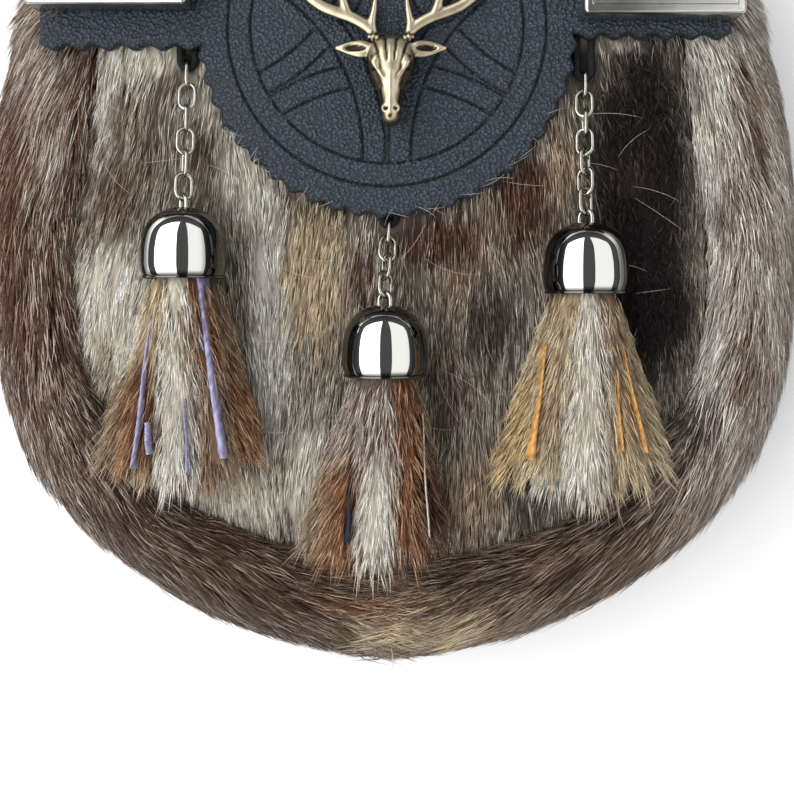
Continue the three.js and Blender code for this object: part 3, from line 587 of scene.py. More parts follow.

# How the badge is cast, how it tarnishes, and the painted shade on its sides
BADGE_VOXEL = 0.3
BADGE_SMOOTHING = 3
BADGE_HOLLOW_SMOOTHING = 14
BADGE_FRONT = (0.1, 0.6)
BADGE_GROWS = 0.06
HOLLOW_DEPTHS = (-0.02, 0.08)
HOLLOW_DARK = 0.9
RELIEF_DEPTHS = (0.05, 0.35)
RELIEF_DARK = 0.8
# Painted shade on the badge's sides: faces that turn away from straight up take the colour of the hollows
SHADED_SIDE_FACING = (0.3, 0.92)
SIDE_PAINTED_SHADE = 0.85
PATINA = 0.1
PATINA_WAVE = 3.5

# The flap's embossing and the points of its sheet
TOOTH_POINTS = 9
KNOT_BOW = 7.8
KNOT_HALF_WIDE = 2.65
KNOT_SPLAY = 5.5
KNOT_CROSSING = 0.3
KNOT_ARC_POINTS = 110
KNOT_PAST = 1.15
LEAST_LINE = 4
GROOVE_POINTS_PER_MM = 8
GROOVE_OFFSETS = (-1.0, -0.5, -0.25, 0.0, 0.25, 0.5, 1.0)
GROOVE_HALF_WIDE = 0.3
GROOVE_CLEAR = 1.3
LIP_HIGH = 0.22
LIP_PLACE = 0.7
LIP_WIDE = 0.28
FLAP_STEPS = (1.7, 1.5)
FLAP_SIDE_STEP = 1.6
FLAP_LOW_Y = 10
RIM_OFFSETS = (0.3, 0.8)
RIM_ROUND_DEEP = 0.45
RIM_ROUND_WIDE = 0.8
FLAP_RELIEF = (-0.3, 1.2)
SAG = 0.18
SAG_WAVE = 30
SAG_FADE = 20
SAG_SHARE = 0.5
# Painted shade in the embossed grooves and a painted highlight on their lips; the flap is also darker along
# its cut edge
GROOVE_PAINTED_SHADE = 0.9
GROOVE_PAINTED_SHADE_WIDE = 0.33
LIP_PAINTED_HIGHLIGHT = 0.25
RIM_DARK = 0.6
RIM_DARK_WIDE = 0.9
SAME_POINT = 1e-5
AT_ONCE = 2000

# The leather's grain and the shine of each finish
GRAIN_BEND = 0.6 * MM
GRAIN_BEND_DETAIL = 2
GRAIN_FINE = 1500
GRAIN_FINE_DETAIL = 4
GRAIN_FINE_ROUGH = 0.6
GRAIN_FINE_SHARE = 0.6
PEBBLE_SLOPE = (0.1, 0.8)
PEBBLE_HIGH = 0.5
# Painted shade between the pebbles and a painted highlight on their tops: where on the grain's height the
# colour runs from dark to light
PEBBLE_SHADE_TO_HIGHLIGHT = (0.38, 0.86)
LEATHER_ROUGHNESS = 0.42
LEATHER_SPECULAR = 0.42
PRESSED_ROUGHNESS = 0.95
BACK_GRAIN_DEEP = 0.08
FLAP_GRAIN_DEEP = 0.75
THONG_GRAIN_DEEP = 0.05
FUR_SPECULAR = 0.35
HIDE_ROUGHNESS = 0.9
EDGE_ROUGHNESS = 0.85
LONG_HAIR_ROUGHNESS = 0.42
FRONT_HAIR_ROUGHNESS = 0.45
WORN_SHADE = 0.72
WORN_RAMP = (0.3, 0.62)
WEAR_DETAIL = 5

# Roughness and metallic share of the cast metals
CAP_SHINE = (0.045, 1.0)
BRASS_SHINE = (0.34, 0.85)

# Least roughness, how much rougher the wear makes it, and the size of the wear
PLATE_SHINE = (0.16, 0.14, 9)
CHAIN_SHINE = (0.1, 0.12, 1.6)

# The stage
FLOOR_HALF = 1.6
FLOOR_COLOUR = (0.86, 0.86, 0.87, 1)
FLOOR_ROUGHNESS = 0.6
SKY_COLOUR = (0.92, 0.96, 1.0, 1)
CLIP_START = 0.01


# Sizes and colours that a user would change

def length_setting(name, description, default):
    """A length that a user can change."""
    return bpy.props.FloatProperty(name=name, description=description, default=default, unit="LENGTH")


def colour_setting(name, description, default):
    """A colour that a user can change."""
    return bpy.props.FloatVectorProperty(name=name, description=description, default=default, subtype="COLOR")


def power_setting(name, description, default):
    """The power of a lamp that a user can change."""
    return bpy.props.FloatProperty(name=name, description=description, default=default, unit="POWER")


class FurSettings(bpy.types.PropertyGroup):
    """Sizes of the hair."""

    seed: bpy.props.IntProperty(name="Seed", description="Start of the hair's random draws", default=7)
    ring_hairs: bpy.props.IntProperty(
        name="Side wall hairs", description="Hairs on each third of the side wall", default=24000)
    panel_hairs: bpy.props.IntProperty(
        name="Front hairs", description="Hairs on the front", default=31000)
    tassel_hairs: bpy.props.IntProperty(
        name="Tassel hairs", description="Hairs on each tassel", default=9000)
    hair_width: length_setting("Hair width", "Width of a hair at its thickest", 0.24 * MM)
    ring_length: length_setting("Side wall hair", "Length of a hair on the side wall", 13.0 * MM)
    panel_length: length_setting("Front hair", "Length of a hair on the front", 8.0 * MM)
    tassel_length: length_setting("Tassel hair", "Length of a hair on a tassel", 9.0 * MM)


class LeatherSettings(bpy.types.PropertyGroup):
    """Sizes and colours of the leather."""

    # Painted shade between the pebbles and a painted highlight on their tops, the leather's colour running
    # from dark to light
    dark: colour_setting("Dark", "Colour of the leather between its pebbles", (0.006, 0.011, 0.017))
    light: colour_setting("Light", "Colour of the leather on top of its pebbles", (0.042, 0.066, 0.091))
    pebble: length_setting("Pebble", "Size of one pebble of the grain", 0.85 * MM)
    groove_deep: length_setting("Groove", "Depth of an embossed line", 0.6 * MM)


class MetalSettings(bpy.types.PropertyGroup):
    """Colours of the metal."""

    nickel: colour_setting("Nickel", "Colour of the corner plates", (0.6, 0.6, 0.57))
    smoked: colour_setting("Dark nickel", "Colour of the tassel caps", (0.66, 0.65, 0.62))
    chain: colour_setting("Chain", "Colour of the links", (0.43, 0.42, 0.36))
    brass: colour_setting("Brass", "Colour of the raised parts of the badge", (0.5, 0.43, 0.3))
    # the colour of the hollows is also the painted shade on the badge's sides
    tarnish_and_shade: colour_setting("Tarnish", "Colour of the hollows of the badge", (0.03, 0.022, 0.013))


class StageSettings(bpy.types.PropertyGroup):
    """The camera and the lights."""

    camera_place: bpy.props.FloatVectorProperty(
        name="Camera", description="Where the camera stands", subtype="TRANSLATION", unit="LENGTH",
        default=(5.7 * MM, -7.9 * MM, 295.0 * MM))
    field: bpy.props.FloatProperty(
        name="Field", description="Angle that the camera sees", subtype="ANGLE", default=math.radians(41.03))
    shift: bpy.props.FloatVectorProperty(
        name="Shift", description="Shift of the camera, as shares of the picture", size=2,
        default=(-0.0227, -0.1222))
    key_power: power_setting("Key", "Power of the left light panel", 38.0)
    fill_power: power_setting("Fill", "Power of the right light panel", 15.0)
    panel_height: length_setting("Light height", "Height of the two light panels", 0.6)
    panel_long: length_setting("Light length", "Length of the two light panels", 2.8)
    panel_wide: length_setting("Light width", "Width of each of the two light panels", 1.35)
    slot: length_setting("Slot", "Width of the dark slot between the light panels", 0.32)
    slot_x: length_setting("Slot place", "How far right of the middle the slot is", 0.045)
    sky: bpy.props.FloatProperty(
        name="Sky", description="Brightness of the surroundings", default=0.1)


# Numbers and curves

def linear(colour):
    """The linear value of a colour given in sRGB from 0 to 255."""
    share = np.asarray(colour, float) / 255
    return np.where(share <= 0.04045, share / 12.92, ((share + 0.055) / 1.055) ** 2.4)


def smooth(value, low, high):
    """Three t squared less two t cubed, with t the share of the way from low to high."""
    share = np.clip((value - low) / (high - low), 0, 1)
    return share * share * (3 - 2 * share)


def fading(value, low, high):
    """One up to low, none from high on, and smooth between them."""
    return 1 - smooth(value, low, high)


def hump(away, wide):
    """One at no distance, less and less far off: e to the power of less the square of away over wide."""
    return np.exp(-(away / wide) ** 2)


def mix(a, b, share):
    """Some share of b in a."""
    return a * (1 - share) + b * share


def unit(vectors):
    """Each vector over its own length."""
    return vectors / np.maximum(np.linalg.norm(vectors, axis=-1, keepdims=True), LEAST)


def left_of(vectors):
    """Each flat vector turned a quarter to its left."""
    return np.stack([-vectors[:, 1], vectors[:, 0]], -1)


def round_angles(count):
    """Even angles for a full turn, without the last, which is the first again."""
    return np.arange(count) * math.tau / count


def looked_up(rows, places):
    """The value at each place, straight between the rows of a table of places and values."""
    at, values = np.array(rows, float).T
    return np.interp(places, at, values)


def spline(points, share):
    """The curve through evenly spaced points: its slope at each is half the step between its neighbours."""
    points = np.asarray(points, float)
    place = np.clip(share, 0, 1) * (len(points) - 1)
    index = np.minimum(place.astype(int), len(points) - 2)
    w = (place - index)[..., None]
    a = points[index]
    b = points[index + 1]
    slope_a = (b - points[np.maximum(index - 1, 0)]) / 2
    slope_b = (points[np.minimum(index + 2, len(points) - 1)] - a) / 2
    cubic = 2 * a - 2 * b + slope_a + slope_b
    square = 3 * b - 3 * a - 2 * slope_a - slope_b
    return cubic * w ** 3 + square * w ** 2 + slope_a * w + a


def waves(x, y, size, rng, count=7):
    """A smooth field, mostly between -1 and 1: sine waves of random turn and phase, added."""
    total = np.zeros(np.shape(x))
    for _ in range(count):
        turn = rng.uniform(0, math.tau)
        step = math.tau / (size * rng.uniform(*WAVE_SIZES))
        total += np.sin(step * (x * math.cos(turn) + y * math.sin(turn)) + rng.uniform(0, math.tau))
    return total / math.sqrt(count)


# Meshes

def outwards(points, faces):
    """The faces of a closed mesh, turned round if its signed volume is below zero."""
    a, b, c = (points[faces[:, i]] for i in range(3))
    volume = np.einsum("ij,ij->i", a, np.cross(b, c)).sum()
    return faces if volume > 0 else faces[:, ::-1]


def swept(rings):
    """A closed body through rings of points: walls from ring to ring and a fan on each end.

    The middles of the two fans come last, after the points of the rings.
    """
    stations, sides, _ = rings.shape
    index = np.arange(stations * sides).reshape(stations, sides)
    a = index[:-1]
    b = np.roll(a, -1, axis=1)
    c = index[1:]
    d = np.roll(c, -1, axis=1)
    first = np.full(sides, stations * sides)
    faces = np.concatenate([
        np.stack([a, b, d], -1).reshape(-1, 3),
        np.stack([a, d, c], -1).reshape(-1, 3),
        np.stack([first, np.roll(index[0], -1), index[0]], -1),
        np.stack([first + 1, index[-1], np.roll(index[-1], -1)], -1),
    ])
    points = np.concatenate([rings.reshape(-1, 3), rings[:1].mean(1), rings[-1:].mean(1)])
    return points, outwards(points, faces)


def looped(rings):
    """A closed body through rings of points, the last of which joins the first."""
    stations, sides, _ = rings.shape
    a = np.arange(stations * sides).reshape(stations, sides)
    b = np.roll(a, -1, axis=1)
    c = np.roll(a, -1, axis=0)
    d = np.roll(c, -1, axis=1)
    faces = np.concatenate([np.stack([a, b, d], -1).reshape(-1, 3), np.stack([a, d, c], -1).reshape(-1, 3)])
    points = rings.reshape(-1, 3)
    return points, outwards(points, faces)


def joined(bodies):
    """Several (points, faces) bodies as one."""
    starts = np.cumsum([0] + [len(points) for points, _ in bodies[:-1]])
    points = np.concatenate([points for points, _ in bodies])
    faces = np.concatenate([faces + start for (_, faces), start in zip(bodies, starts)])
    return points, faces


def paint(mesh, colours):
    """Colours on the points of a mesh, in the attribute that its material reads."""
    rgba = np.concatenate([colours, np.ones((len(colours), 1))], axis=1).astype(np.float32)
    mesh.color_attributes.new(COAT, "FLOAT_COLOR", "POINT").data.foreach_set("color", rgba.ravel())


def piece(name, body, material, colours=None):
    """A mesh object at the origin from a body in millimetres, with its colours on its points."""
    points, faces = body
    mesh = bpy.data.meshes.new(name)
    mesh.vertices.add(len(points))
    mesh.vertices.foreach_set("co", (points * MM).astype(np.float32).ravel())
    mesh.loops.add(faces.size)
    mesh.loops.foreach_set("vertex_index", faces.astype(np.int32).ravel())
    mesh.polygons.add(len(faces))
    mesh.polygons.foreach_set("loop_start", np.arange(0, faces.size, 3, dtype=np.int32))
    mesh.polygons.foreach_set("use_smooth", np.ones(len(faces), bool))
    mesh.update(calc_edges=True)
    if colours is not None:
        paint(mesh, colours)
    mesh.materials.append(material)
    made = bpy.data.objects.new(name, mesh)
    bpy.context.scene.collection.objects.link(made)
    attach(made, BODY)
    return made


# Materials

def feed(tree, node, inputs):
    """Gives each named input of a node its value, or a link where the value is another node's output."""
    for name, value in inputs.items():
        if isinstance(value, bpy.types.NodeSocket):
            tree.links.new(value, node.inputs[name])
        else:
            node.inputs[name].default_value = value


def add_node(tree, kind, inputs, **settings):
    """A new node with its own settings and its inputs fed."""
    node = tree.nodes.new(f"ShaderNode{kind}")
    for name, value in settings.items():
        setattr(node, name, value)
    feed(tree, node, inputs)
    return node


def colour_ramp(tree, source, places, colours):
    """The output of a ramp between two colours at two places of the value that source puts out."""
    ramp = add_node(tree, "ValToRGB", {"Fac": source})
    for stop, place, colour in zip(ramp.color_ramp.elements, places, colours):
        stop.position = place
        stop.color = (*colour, 1)
    return ramp.outputs["Color"]


def material_of(name):
    """A new material, its node tree and its Principled BSDF."""
    material = bpy.data.materials.new(name)
    material.use_nodes = True
    return material, material.node_tree, material.node_tree.nodes["Principled BSDF"]


def grain_group():
    """Leather grain: Voronoi pebbles with creases between them, bent by noise, with finer noise on them."""
    if GRAIN in bpy.data.node_groups:
        return bpy.data.node_groups[GRAIN]
    group = bpy.data.node_groups.new(GRAIN, "ShaderNodeTree")
    group.interface.new_socket("Scale", in_out="INPUT", socket_type="NodeSocketFloat")
    group.interface.new_socket("Height", in_out="OUTPUT", socket_type="NodeSocketFloat")
    scale = group.nodes.new("NodeGroupInput").outputs["Scale"]
    place = add_node(group, "TexCoord", {}).outputs["Object"]
    bend = add_node(group, "TexNoise", {"Vector": place, "Scale": scale, "Detail": GRAIN_BEND_DETAIL})
    bent = add_node(
        group, "VectorMath", {0: bend.outputs["Color"], 1: (GRAIN_BEND,) * 3, 2: place},
        operation="MULTIPLY_ADD")
    cells = add_node(group, "TexVoronoi", {"Vector": bent.outputs["Vector"], "Scale": scale}, feature="F1")
    fine = add_node(group, "TexNoise", {
        "Vector": place, "Scale": GRAIN_FINE, "Detail": GRAIN_FINE_DETAIL, "Roughness": GRAIN_FINE_ROUGH,
    })
    pebble = add_node(group, "MapRange", {
        "Value": cells.outputs["Distance"], "From Min": PEBBLE_SLOPE[0], "From Max": PEBBLE_SLOPE[1],
        "To Min": PEBBLE_HIGH, "To Max": 0.0,
    }, interpolation_type="SMOOTHSTEP")
    height = add_node(
        group, "Math", {0: fine.outputs["Fac"], 1: GRAIN_FINE_SHARE, 2: pebble.outputs["Result"]},
        operation="MULTIPLY_ADD")
    feed(group, group.nodes.new("NodeGroupOutput"), {"Height": height.outputs["Value"]})
    return group


def leather_material(settings, name, deep, pressed_and_shaded):
    """Pebbled black leather: paler on the pebbles, a painted highlight, and darker between them, painted
    shade; satin, with a bump from the grain.

    Where its points say, the leather is darker and rougher: on the flap that is painted shade in the embossed
    grooves, with a painted highlight on their lips and a darker cut edge, and the thong is darker and rougher
    all over.
    """
    material, tree, shader = material_of(name)
    grain = add_node(tree, "Group", {"Scale": 1 / settings.pebble}, node_tree=grain_group())
    # painted shade between the pebbles, painted highlight on their tops
    colour = colour_ramp(tree, grain.outputs["Height"], PEBBLE_SHADE_TO_HIGHLIGHT, (settings.dark, settings.light))
    roughness = LEATHER_ROUGHNESS
    if pressed_and_shaded:
        # the points' colour: painted shade in the flap's grooves, a painted highlight on their lips, a darker
        # cut edge and a darker thong
        press_and_painted_shading = add_node(tree, "Attribute", {}, attribute_name=COAT)
        darker = add_node(
            tree, "Mix", {"Factor": 1.0, "A": colour, "B": press_and_painted_shading.outputs["Color"]},
            data_type="RGBA", blend_type="MULTIPLY")
        colour = darker.outputs["Result"]
        roughness = add_node(tree, "MapRange", {
            "Value": press_and_painted_shading.outputs["Fac"], "To Min": PRESSED_ROUGHNESS, "To Max": LEATHER_ROUGHNESS,
        }).outputs["Result"]
    bump = add_node(tree, "Bump", {"Strength": 1.0, "Distance": deep * MM, "Height": grain.outputs["Height"]})
    feed(tree, shader, {
        "Base Color": colour, "Roughness": roughness, "Normal": bump.outputs["Normal"],
        "Specular IOR Level": LEATHER_SPECULAR,
    })
    return material


def painted_material(name, shine):
    """A material coloured by its points."""
    material, tree, shader = material_of(name)
    coat = add_node(tree, "Attribute", {}, attribute_name=COAT)
    feed(tree, shader, {"Base Color": coat.outputs["Color"], **shine})
    return material


def fur_material(name, roughness):
    """Hair or hide, a little glossy."""
    return painted_material(name, {"Roughness": roughness, "Specular IOR Level": FUR_SPECULAR})


def cast_metal(name, roughness, metallic):
    """Metal coloured by its points: bright on its ridges and dark in its hollows, where the badge is
    tarnished, with painted shade on the badge's sides and round the caps' sides, crowns and rims.
    """
    return painted_material(name, {"Roughness": roughness, "Metallic": metallic})


def metal_material(name, colour, roughness, spread, wear_size):
    """Polished metal, its colour and gloss a little uneven by noise of wear_size."""
    material, tree, shader = material_of(name)
    place = add_node(tree, "TexCoord", {}).outputs["Object"]
    wear = add_node(tree, "TexNoise", {"Vector": place, "Scale": 1 / (wear_size * MM), "Detail": WEAR_DETAIL})
    worn = [part * WORN_SHADE for part in colour]
    gloss = add_node(tree, "MapRange", {
        "Value": wear.outputs["Fac"], "To Min": roughness, "To Max": roughness + spread,
    })
    feed(tree, shader, {
        "Base Color": colour_ramp(tree, wear.outputs["Fac"], WORN_RAMP, (worn, colour)),
        "Roughness": gloss.outputs["Result"], "Metallic": 1.0,
    })
    return material


# Hair

def coat_values(name):
    """One coat as a row: three colours in linear values, the share of pale hairs and the curl."""
    skin, hair, pale, share, curl = COATS[name]
    return np.concatenate([linear(skin), linear(hair), linear(pale), [share, curl]])


def charted(patches, plain, x, y):
    """The coat at each place: the plain one, with each oval patch laid over the ones before it."""
    value = np.tile(coat_values(plain), (len(x), 1))
    for name, at_x, at_y, half_wide, half_tall, strength in patches:
        away = np.hypot((x - at_x) / half_wide, (y - at_y) / half_tall)
        weight = strength * fading(away, *PATCH_FADE)
        value += weight[:, None] * (coat_values(name) - value)
    return value


def hide_colours(coats, share=HIDE_COLOUR):
    """The hide under a coat: the colour near the skin, with some of the hair's."""
    return mix(coats[:, SKIN], coats[:, HAIR], share)


def seen_from(places, ways, reach, rng):
    """Where each lock takes its coat from: some random way along itself, so that patches end in streaks."""
    x, y = places[:, 0], places[:, 1]
    bend = STREAK_BEND * np.stack([waves(x, y, STREAK_WAVE, rng), waves(x, y, STREAK_WAVE, rng)], -1)
    along = reach + rng.normal(0, STREAK_LONG, len(places))
    scatter = rng.normal(0, STREAK_WIDE, (len(places), 2))
    spot = places[:, 0:2] + ways[:, 0:2] * along[:, None] + bend + scatter
    return spot[:, 0], spot[:, 1]


def scattered(grid, weight, count, rng):
    """Random places on a grid of points, as fractional rows and columns, even by area times weight."""
    down = grid[1:, :-1] - grid[:-1, :-1]
    across = grid[:-1, 1:] - grid[:-1, :-1]
    area = np.linalg.norm(np.cross(down, across), axis=-1) * weight[:-1, :-1]
    cell = rng.choice(area.size, count, p=area.ravel() / area.sum())
    rows, columns = np.divmod(cell, area.shape[1])
    return rows + rng.random(count), columns + rng.random(count)


def between(values, rows, columns):
    """The values of a grid at fractional rows and columns, by their four neighbours."""
    i, j = rows.astype(int), columns.astype(int)
    u, v = (rows - i)[:, None], (columns - j)[:, None]
    return mix(mix(values[i, j], values[i, j + 1], v), mix(values[i + 1, j], values[i + 1, j + 1], v), u)


def strands(roots, middles, tips, wide):
    """Hairs as thin double cones: a root point, three points round the middle and a tip point each."""
    way = unit(tips - roots)
    side = unit(np.cross(way, np.array(HAIR_ASKEW)))
    up = np.cross(side, way)
    points = np.empty((len(roots), 5, 3))
    points[:, 0] = roots
    points[:, 4] = tips
    for i in range(3):
        angle = math.pi / 2 + i * math.tau / 3
        points[:, 1 + i] = middles + (side * math.cos(angle) + up * math.sin(angle)) * wide[:, None] / 2
    pattern = np.array([[0, 1, 2], [0, 2, 3], [0, 3, 1], [4, 2, 1], [4, 3, 2], [4, 1, 3]])
    faces = (np.arange(len(roots))[:, None, None] * 5 + pattern).reshape(-1, 3)
    one = points[0] - points[0, 0]
    if outwards(one, pattern) is not pattern:
        faces = faces[:, ::-1]
    return points.reshape(-1, 3), faces


def locks(places, ways, normals, coats, length, width, lock, rng):
    """Hairs in locks: the hairs of one lock start round its place and lean together towards its tip.

    A hair starts at place + side u + way v - normal d, and ends at place + way (l + v) + side u / 3 +
    normal h, with its middle raised by a bow. Returns the strands and their colours.
    """
    count = len(places)
    of = np.repeat(np.arange(count), lock.hairs)
    total = len(of)
    length = np.broadcast_to(length, count)[of]
    curl = coats[of, CURL]
    turned = rng.normal(0, HAIR_TURN, (total, 3))
    curled = rng.normal(0, CURL_TURN, (total, 3)) * curl[:, None] ** CURL_POWER
    way = unit(ways[of] + turned + curled)
    normal = normals[of]
    way = unit(way - normal * np.einsum("ij,ij->i", way, normal)[:, None] * LIE_FLAT)
    side = np.cross(way, normal)
    u = rng.normal(0, lock.wide / 2, total)
    v = rng.uniform(-ROOT_SPREAD, ROOT_SPREAD, total) * length
    far = length * rng.uniform(*LOCK_LENGTHS, count)[of] * rng.uniform(*HAIR_LENGTHS, total)
    far = far * (1 - CURL_SHORTENS * curl)
    root = places[of] + side * u[:, None] + way * v[:, None]
    start = root - normal * (lock.deep * rng.uniform(*ROOT_DEPTHS, total))[:, None]
    height = lock.lift * rng.normal(TIP_HEIGHT, TIP_SCATTER, total) + lock.lift * CURL_LIFT * curl
    end = places[of] + way * (v + far)[:, None] + side * (u / TIP_GATHER)[:, None] + normal * height[:, None]
    bow = rng.uniform(*HAIR_BOWS, total) * far
    sway = rng.normal(0, HAIR_SWAY, total) * far
    middle = mix(start, end, HAIR_MIDDLE) + normal * bow[:, None] + side * sway[:, None]
    body = strands(start, middle, end, width * lock.fine * rng.uniform(*HAIR_WIDTHS, total))

    hair, pale = coats[of, HAIR], coats[of, PALE]
    is_pale = (rng.random(total) < coats[of, PALE_SHARE])[:, None]
    shade = (rng.uniform(*LOCK_SHADES, count)[of] * rng.uniform(*HAIR_SHADES, total))[:, None]
    base = np.where(is_pale, mix(hair, pale, PALE_IN_BASE), hair) * shade
    tip = np.where(is_pale, pale, mix(hair, pale, PALE_IN_TIP)) * shade
    foot = mix(coats[of, SKIN], base, BASE_IN_ROOT)
    colours = np.stack([foot, base, base, base, tip], axis=1).reshape(-1, 3)
    return body, np.clip(colours, 0, 1)


# The side wall

def ring_lines(share):
    """The seam, the way out to the fur's edge and the height at each share of the way round."""
    rows = np.array(RING_ROWS)
    left = rows[-2::-1] * np.array([-1, 1, -1, 1, 1])
    line = spline(np.concatenate([rows, left]), share)
    return line[:, 0:2], line[:, 2:4] - line[:, 0:2], np.minimum(line[:, 4], 1)


def section_line(section, count, inset=0.0):
    """Points (out, height) along a section's curve, set in from it by inset along its own normal."""
    line = spline(section, np.linspace(0, 1, count))
    return line - unit(left_of(np.gradient(line, axis=0))) * inset


def on_ring(share, section):
    """Points of a section carried round the ring: out along the ring's way, height scaled about its end."""
    seam, out, tall = ring_lines(share)
    n = section[:, 0] / RING_FULL_WIDTH
    flat = seam[:, None] + out[:, None] * n[None, :, None]
    z = RING_END_Z + (section[None, :, 1] - RING_END_Z) * tall[:, None]
    return np.concatenate([flat, z[..., None]], axis=-1)


def ring_undercoat(material):
    """The short fur and the hide of the side wall as one closed body, under the long hair."""
    outer = section_line(RING_FUR_SECTION, RING_OUTER_POINTS, HIDE_INSET)
    outer[:, 1] = np.maximum(outer[:, 1], HIDE_LOWEST)
    inner = section_line(RING_INNER_SECTION, RING_INNER_POINTS)
    body = swept(on_ring(np.linspace(0, 1, RING_STATIONS), np.concatenate([outer, inner])))
    coats = charted(RING_PATCHES, RING_COAT, body[0][:, 0], body[0][:, 1])
    made = piece("fur_gusset_hide", body, material, hide_colours(coats))
    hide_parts(*RING_LENGTHS)


def ring_hair(node, material, settings):
    """Long hair on one length of the side wall, flowing down both sides and outwards over the round.

    It is shorter and paler towards the back, and shorter at the upper right corner.
    """
    low, high, seed = RING_LENGTHS[node]
    rng = np.random.default_rng(settings.seed + seed)
    share = np.linspace(low, high, RING_HAIR_GRID[0])
    around = np.linspace(0, 1, RING_HAIR_GRID[1])
    grid = on_ring(share, section_line(RING_FUR_SECTION, RING_HAIR_GRID[1]))
    down = unit(np.gradient(grid, axis=0)) * np.sign(0.5 - share)[:, None, None]
    across = unit(np.gradient(grid, axis=1))
    normal = unit(np.cross(np.gradient(grid, axis=0), np.gradient(grid, axis=1)))
    middle = on_ring(share, np.array([RING_MIDDLE]))
    normal *= np.sign(np.einsum("ijk,ijk->ij", normal, grid - middle))[..., None]

    lean = looked_up(RING_LEANS, around)[None, :]
    beside = smooth(np.abs(share - 0.5), 0.0, BOTTOM_REACH)[:, None]
    lean = mix(lean * BOTTOM_LEAN_SHARE + BOTTOM_LEAN, lean, beside)
    lean = lean + SHOULDER_LEAN * smooth(grid[..., 1], *SHOULDER_Y)
    lean = lean + RING_WAVE_LEAN * waves(grid[..., 0], grid[..., 1], RING_WAVE, rng)
    turn = np.radians(lean)[..., None]
    ways = down * np.cos(turn) + across * np.sin(turn)

    weight = looked_up(RING_THICKNESS, around)[None, :] * np.ones((len(share), 1))
    length = settings.ring_length / MM
    rows, columns = scattered(grid, weight, settings.ring_hairs // SIDE_LOCK.hairs, rng)
    places = between(grid, rows, columns)
    way = unit(between(ways, rows, columns))
    coats = charted(RING_PATCHES, RING_COAT, *seen_from(places, way, length * SIDE_LOCK.reach, rng))
    backwards = between(np.tile(around[None, :, None], (len(share), 1, 1)), rows, columns)[:, 0]
    rim = smooth(backwards, *RIM)
    rim_coat = mix(coat_values("tan"), coat_values("cream"), 0.5)
    coats += (rim * RIM_PALE)[:, None] * (rim_coat - coats)
    corner = smooth(places[:, 1], *CORNER_Y) * (places[:, 0] > 0)
    length = length * (1 - RIM_SHORTENS * rim) * (1 - CORNER_SHORTENS * corner)
    body, colours = locks(
        places, way, unit(between(normal, rows, columns)), coats, length,
        settings.hair_width / MM, SIDE_LOCK, rng)
    body[0][:, 2] = np.maximum(body[0][:, 2], HAIR_LOWEST)
    made = piece(f"{node}_hair", body, material, colours)
    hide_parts(node)


# The front

def panel_grid(columns, rows):
    """The front between its seams: rows down the seam's curve, columns in shares of its half width."""
    share = np.linspace(0, 0.5, SEAM_POINTS)
    seam, _, _ = ring_lines(share)
    start = np.interp(-PANEL_TOP_Y, -seam[:, 1], share)
    line, _, _ = ring_lines(np.linspace(start, PANEL_END, rows))
    x = np.linspace(-1, 1, columns)[None] * (line[:, 0:1] - GAP)
    y = np.repeat(line[:, 1:2], columns, axis=1)
    return x, y


def panel_rise(x, y):
    """The share of the dome and the pile at a place: none at the seam, all past the rise's distance."""
    seam, _, _ = ring_lines(np.linspace(0, 1, SEAM_COARSE_POINTS))
    away = np.hypot(x[..., None] - seam[:, 0], y[..., None] - seam[:, 1]).min(-1)
    return smooth(away, 0, PANEL_PILE_RISE)


def panel_undercoat(material):
    """The short fur and the hide of the front as one closed body, under the hair."""
    x, y = panel_grid(PANEL_COLUMNS, PANEL_ROWS)
    rise = panel_rise(x, y)
    top = np.stack([x, y, PANEL_EDGE_TOP - PANEL_HIDE_DROP + (PANEL_DOME + PANEL_PILE) * rise], -1)
    under = np.stack([x, y, PANEL_EDGE_UNDER + PANEL_DOME * rise], -1)
    body = swept(np.concatenate([top, under[:, ::-1]], axis=1))
    coats = charted(PANEL_PATCHES, PANEL_COAT, body[0][:, 0], body[0][:, 1])
    made = piece("front_panel_hide", body, material, hide_colours(coats))
    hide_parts("front_panel")


def panel_hair(material, settings):
    """Hair on the front, lying down it, shorter than on the side wall and parted round the thongs."""
    rng = np.random.default_rng(settings.seed + PANEL_SEED)
    x, y = panel_grid(PANEL_HAIR_COLUMNS, PANEL_HAIR_ROWS)
    grid = np.stack([x, y, PANEL_EDGE_TOP + (PANEL_DOME + PANEL_PILE) * panel_rise(x, y)], -1)
    normal = unit(np.cross(np.gradient(grid, axis=1), np.gradient(grid, axis=0)))
    normal *= np.sign(normal[..., 2:3])
    turn = np.radians(looked_up(PANEL_LEANS, x) + PANEL_WAVE_LEAN * waves(x, y, PANEL_WAVE, rng))
    ways = np.stack([np.sin(turn), -np.cos(turn), np.zeros_like(x)], -1)
    from_disc = np.hypot(x - DISC[0], y - DISC[1])
    under_disc = fading(from_disc, DISC_R - UNDER_DISC[0], DISC_R - UNDER_DISC[1]) * UNDER_DISC_THIN
    weight = 1 - np.maximum(smooth(y, *UNDER_WINGS_Y) * UNDER_WINGS_THIN, under_disc)
    length = settings.panel_length / MM
    rows, columns = scattered(grid, weight, settings.panel_hairs // FRONT_LOCK.hairs, rng)
    places = between(grid, rows, columns)
    for tassel in TASSELS.values():
        thong_x, thong_y = tassel["thong"]
        level = (places[:, 1] > thong_y) & (places[:, 1] < thong_y + THONG_LONG)
        near = level & (np.abs(places[:, 0] - thong_x) < THONG_PART)
        places, rows, columns = places[~near], rows[~near], columns[~near]
    way = unit(between(ways, rows, columns))
    coats = charted(PANEL_PATCHES, PANEL_COAT, *seen_from(places, way, length * FRONT_LOCK.reach, rng))
    body, colours = locks(
        places, way, unit(between(normal, rows, columns)), coats, length,
        settings.hair_width / MM, FRONT_LOCK, rng)
    made = piece("front_panel_hair", body, material, colours)
    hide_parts("front_panel")


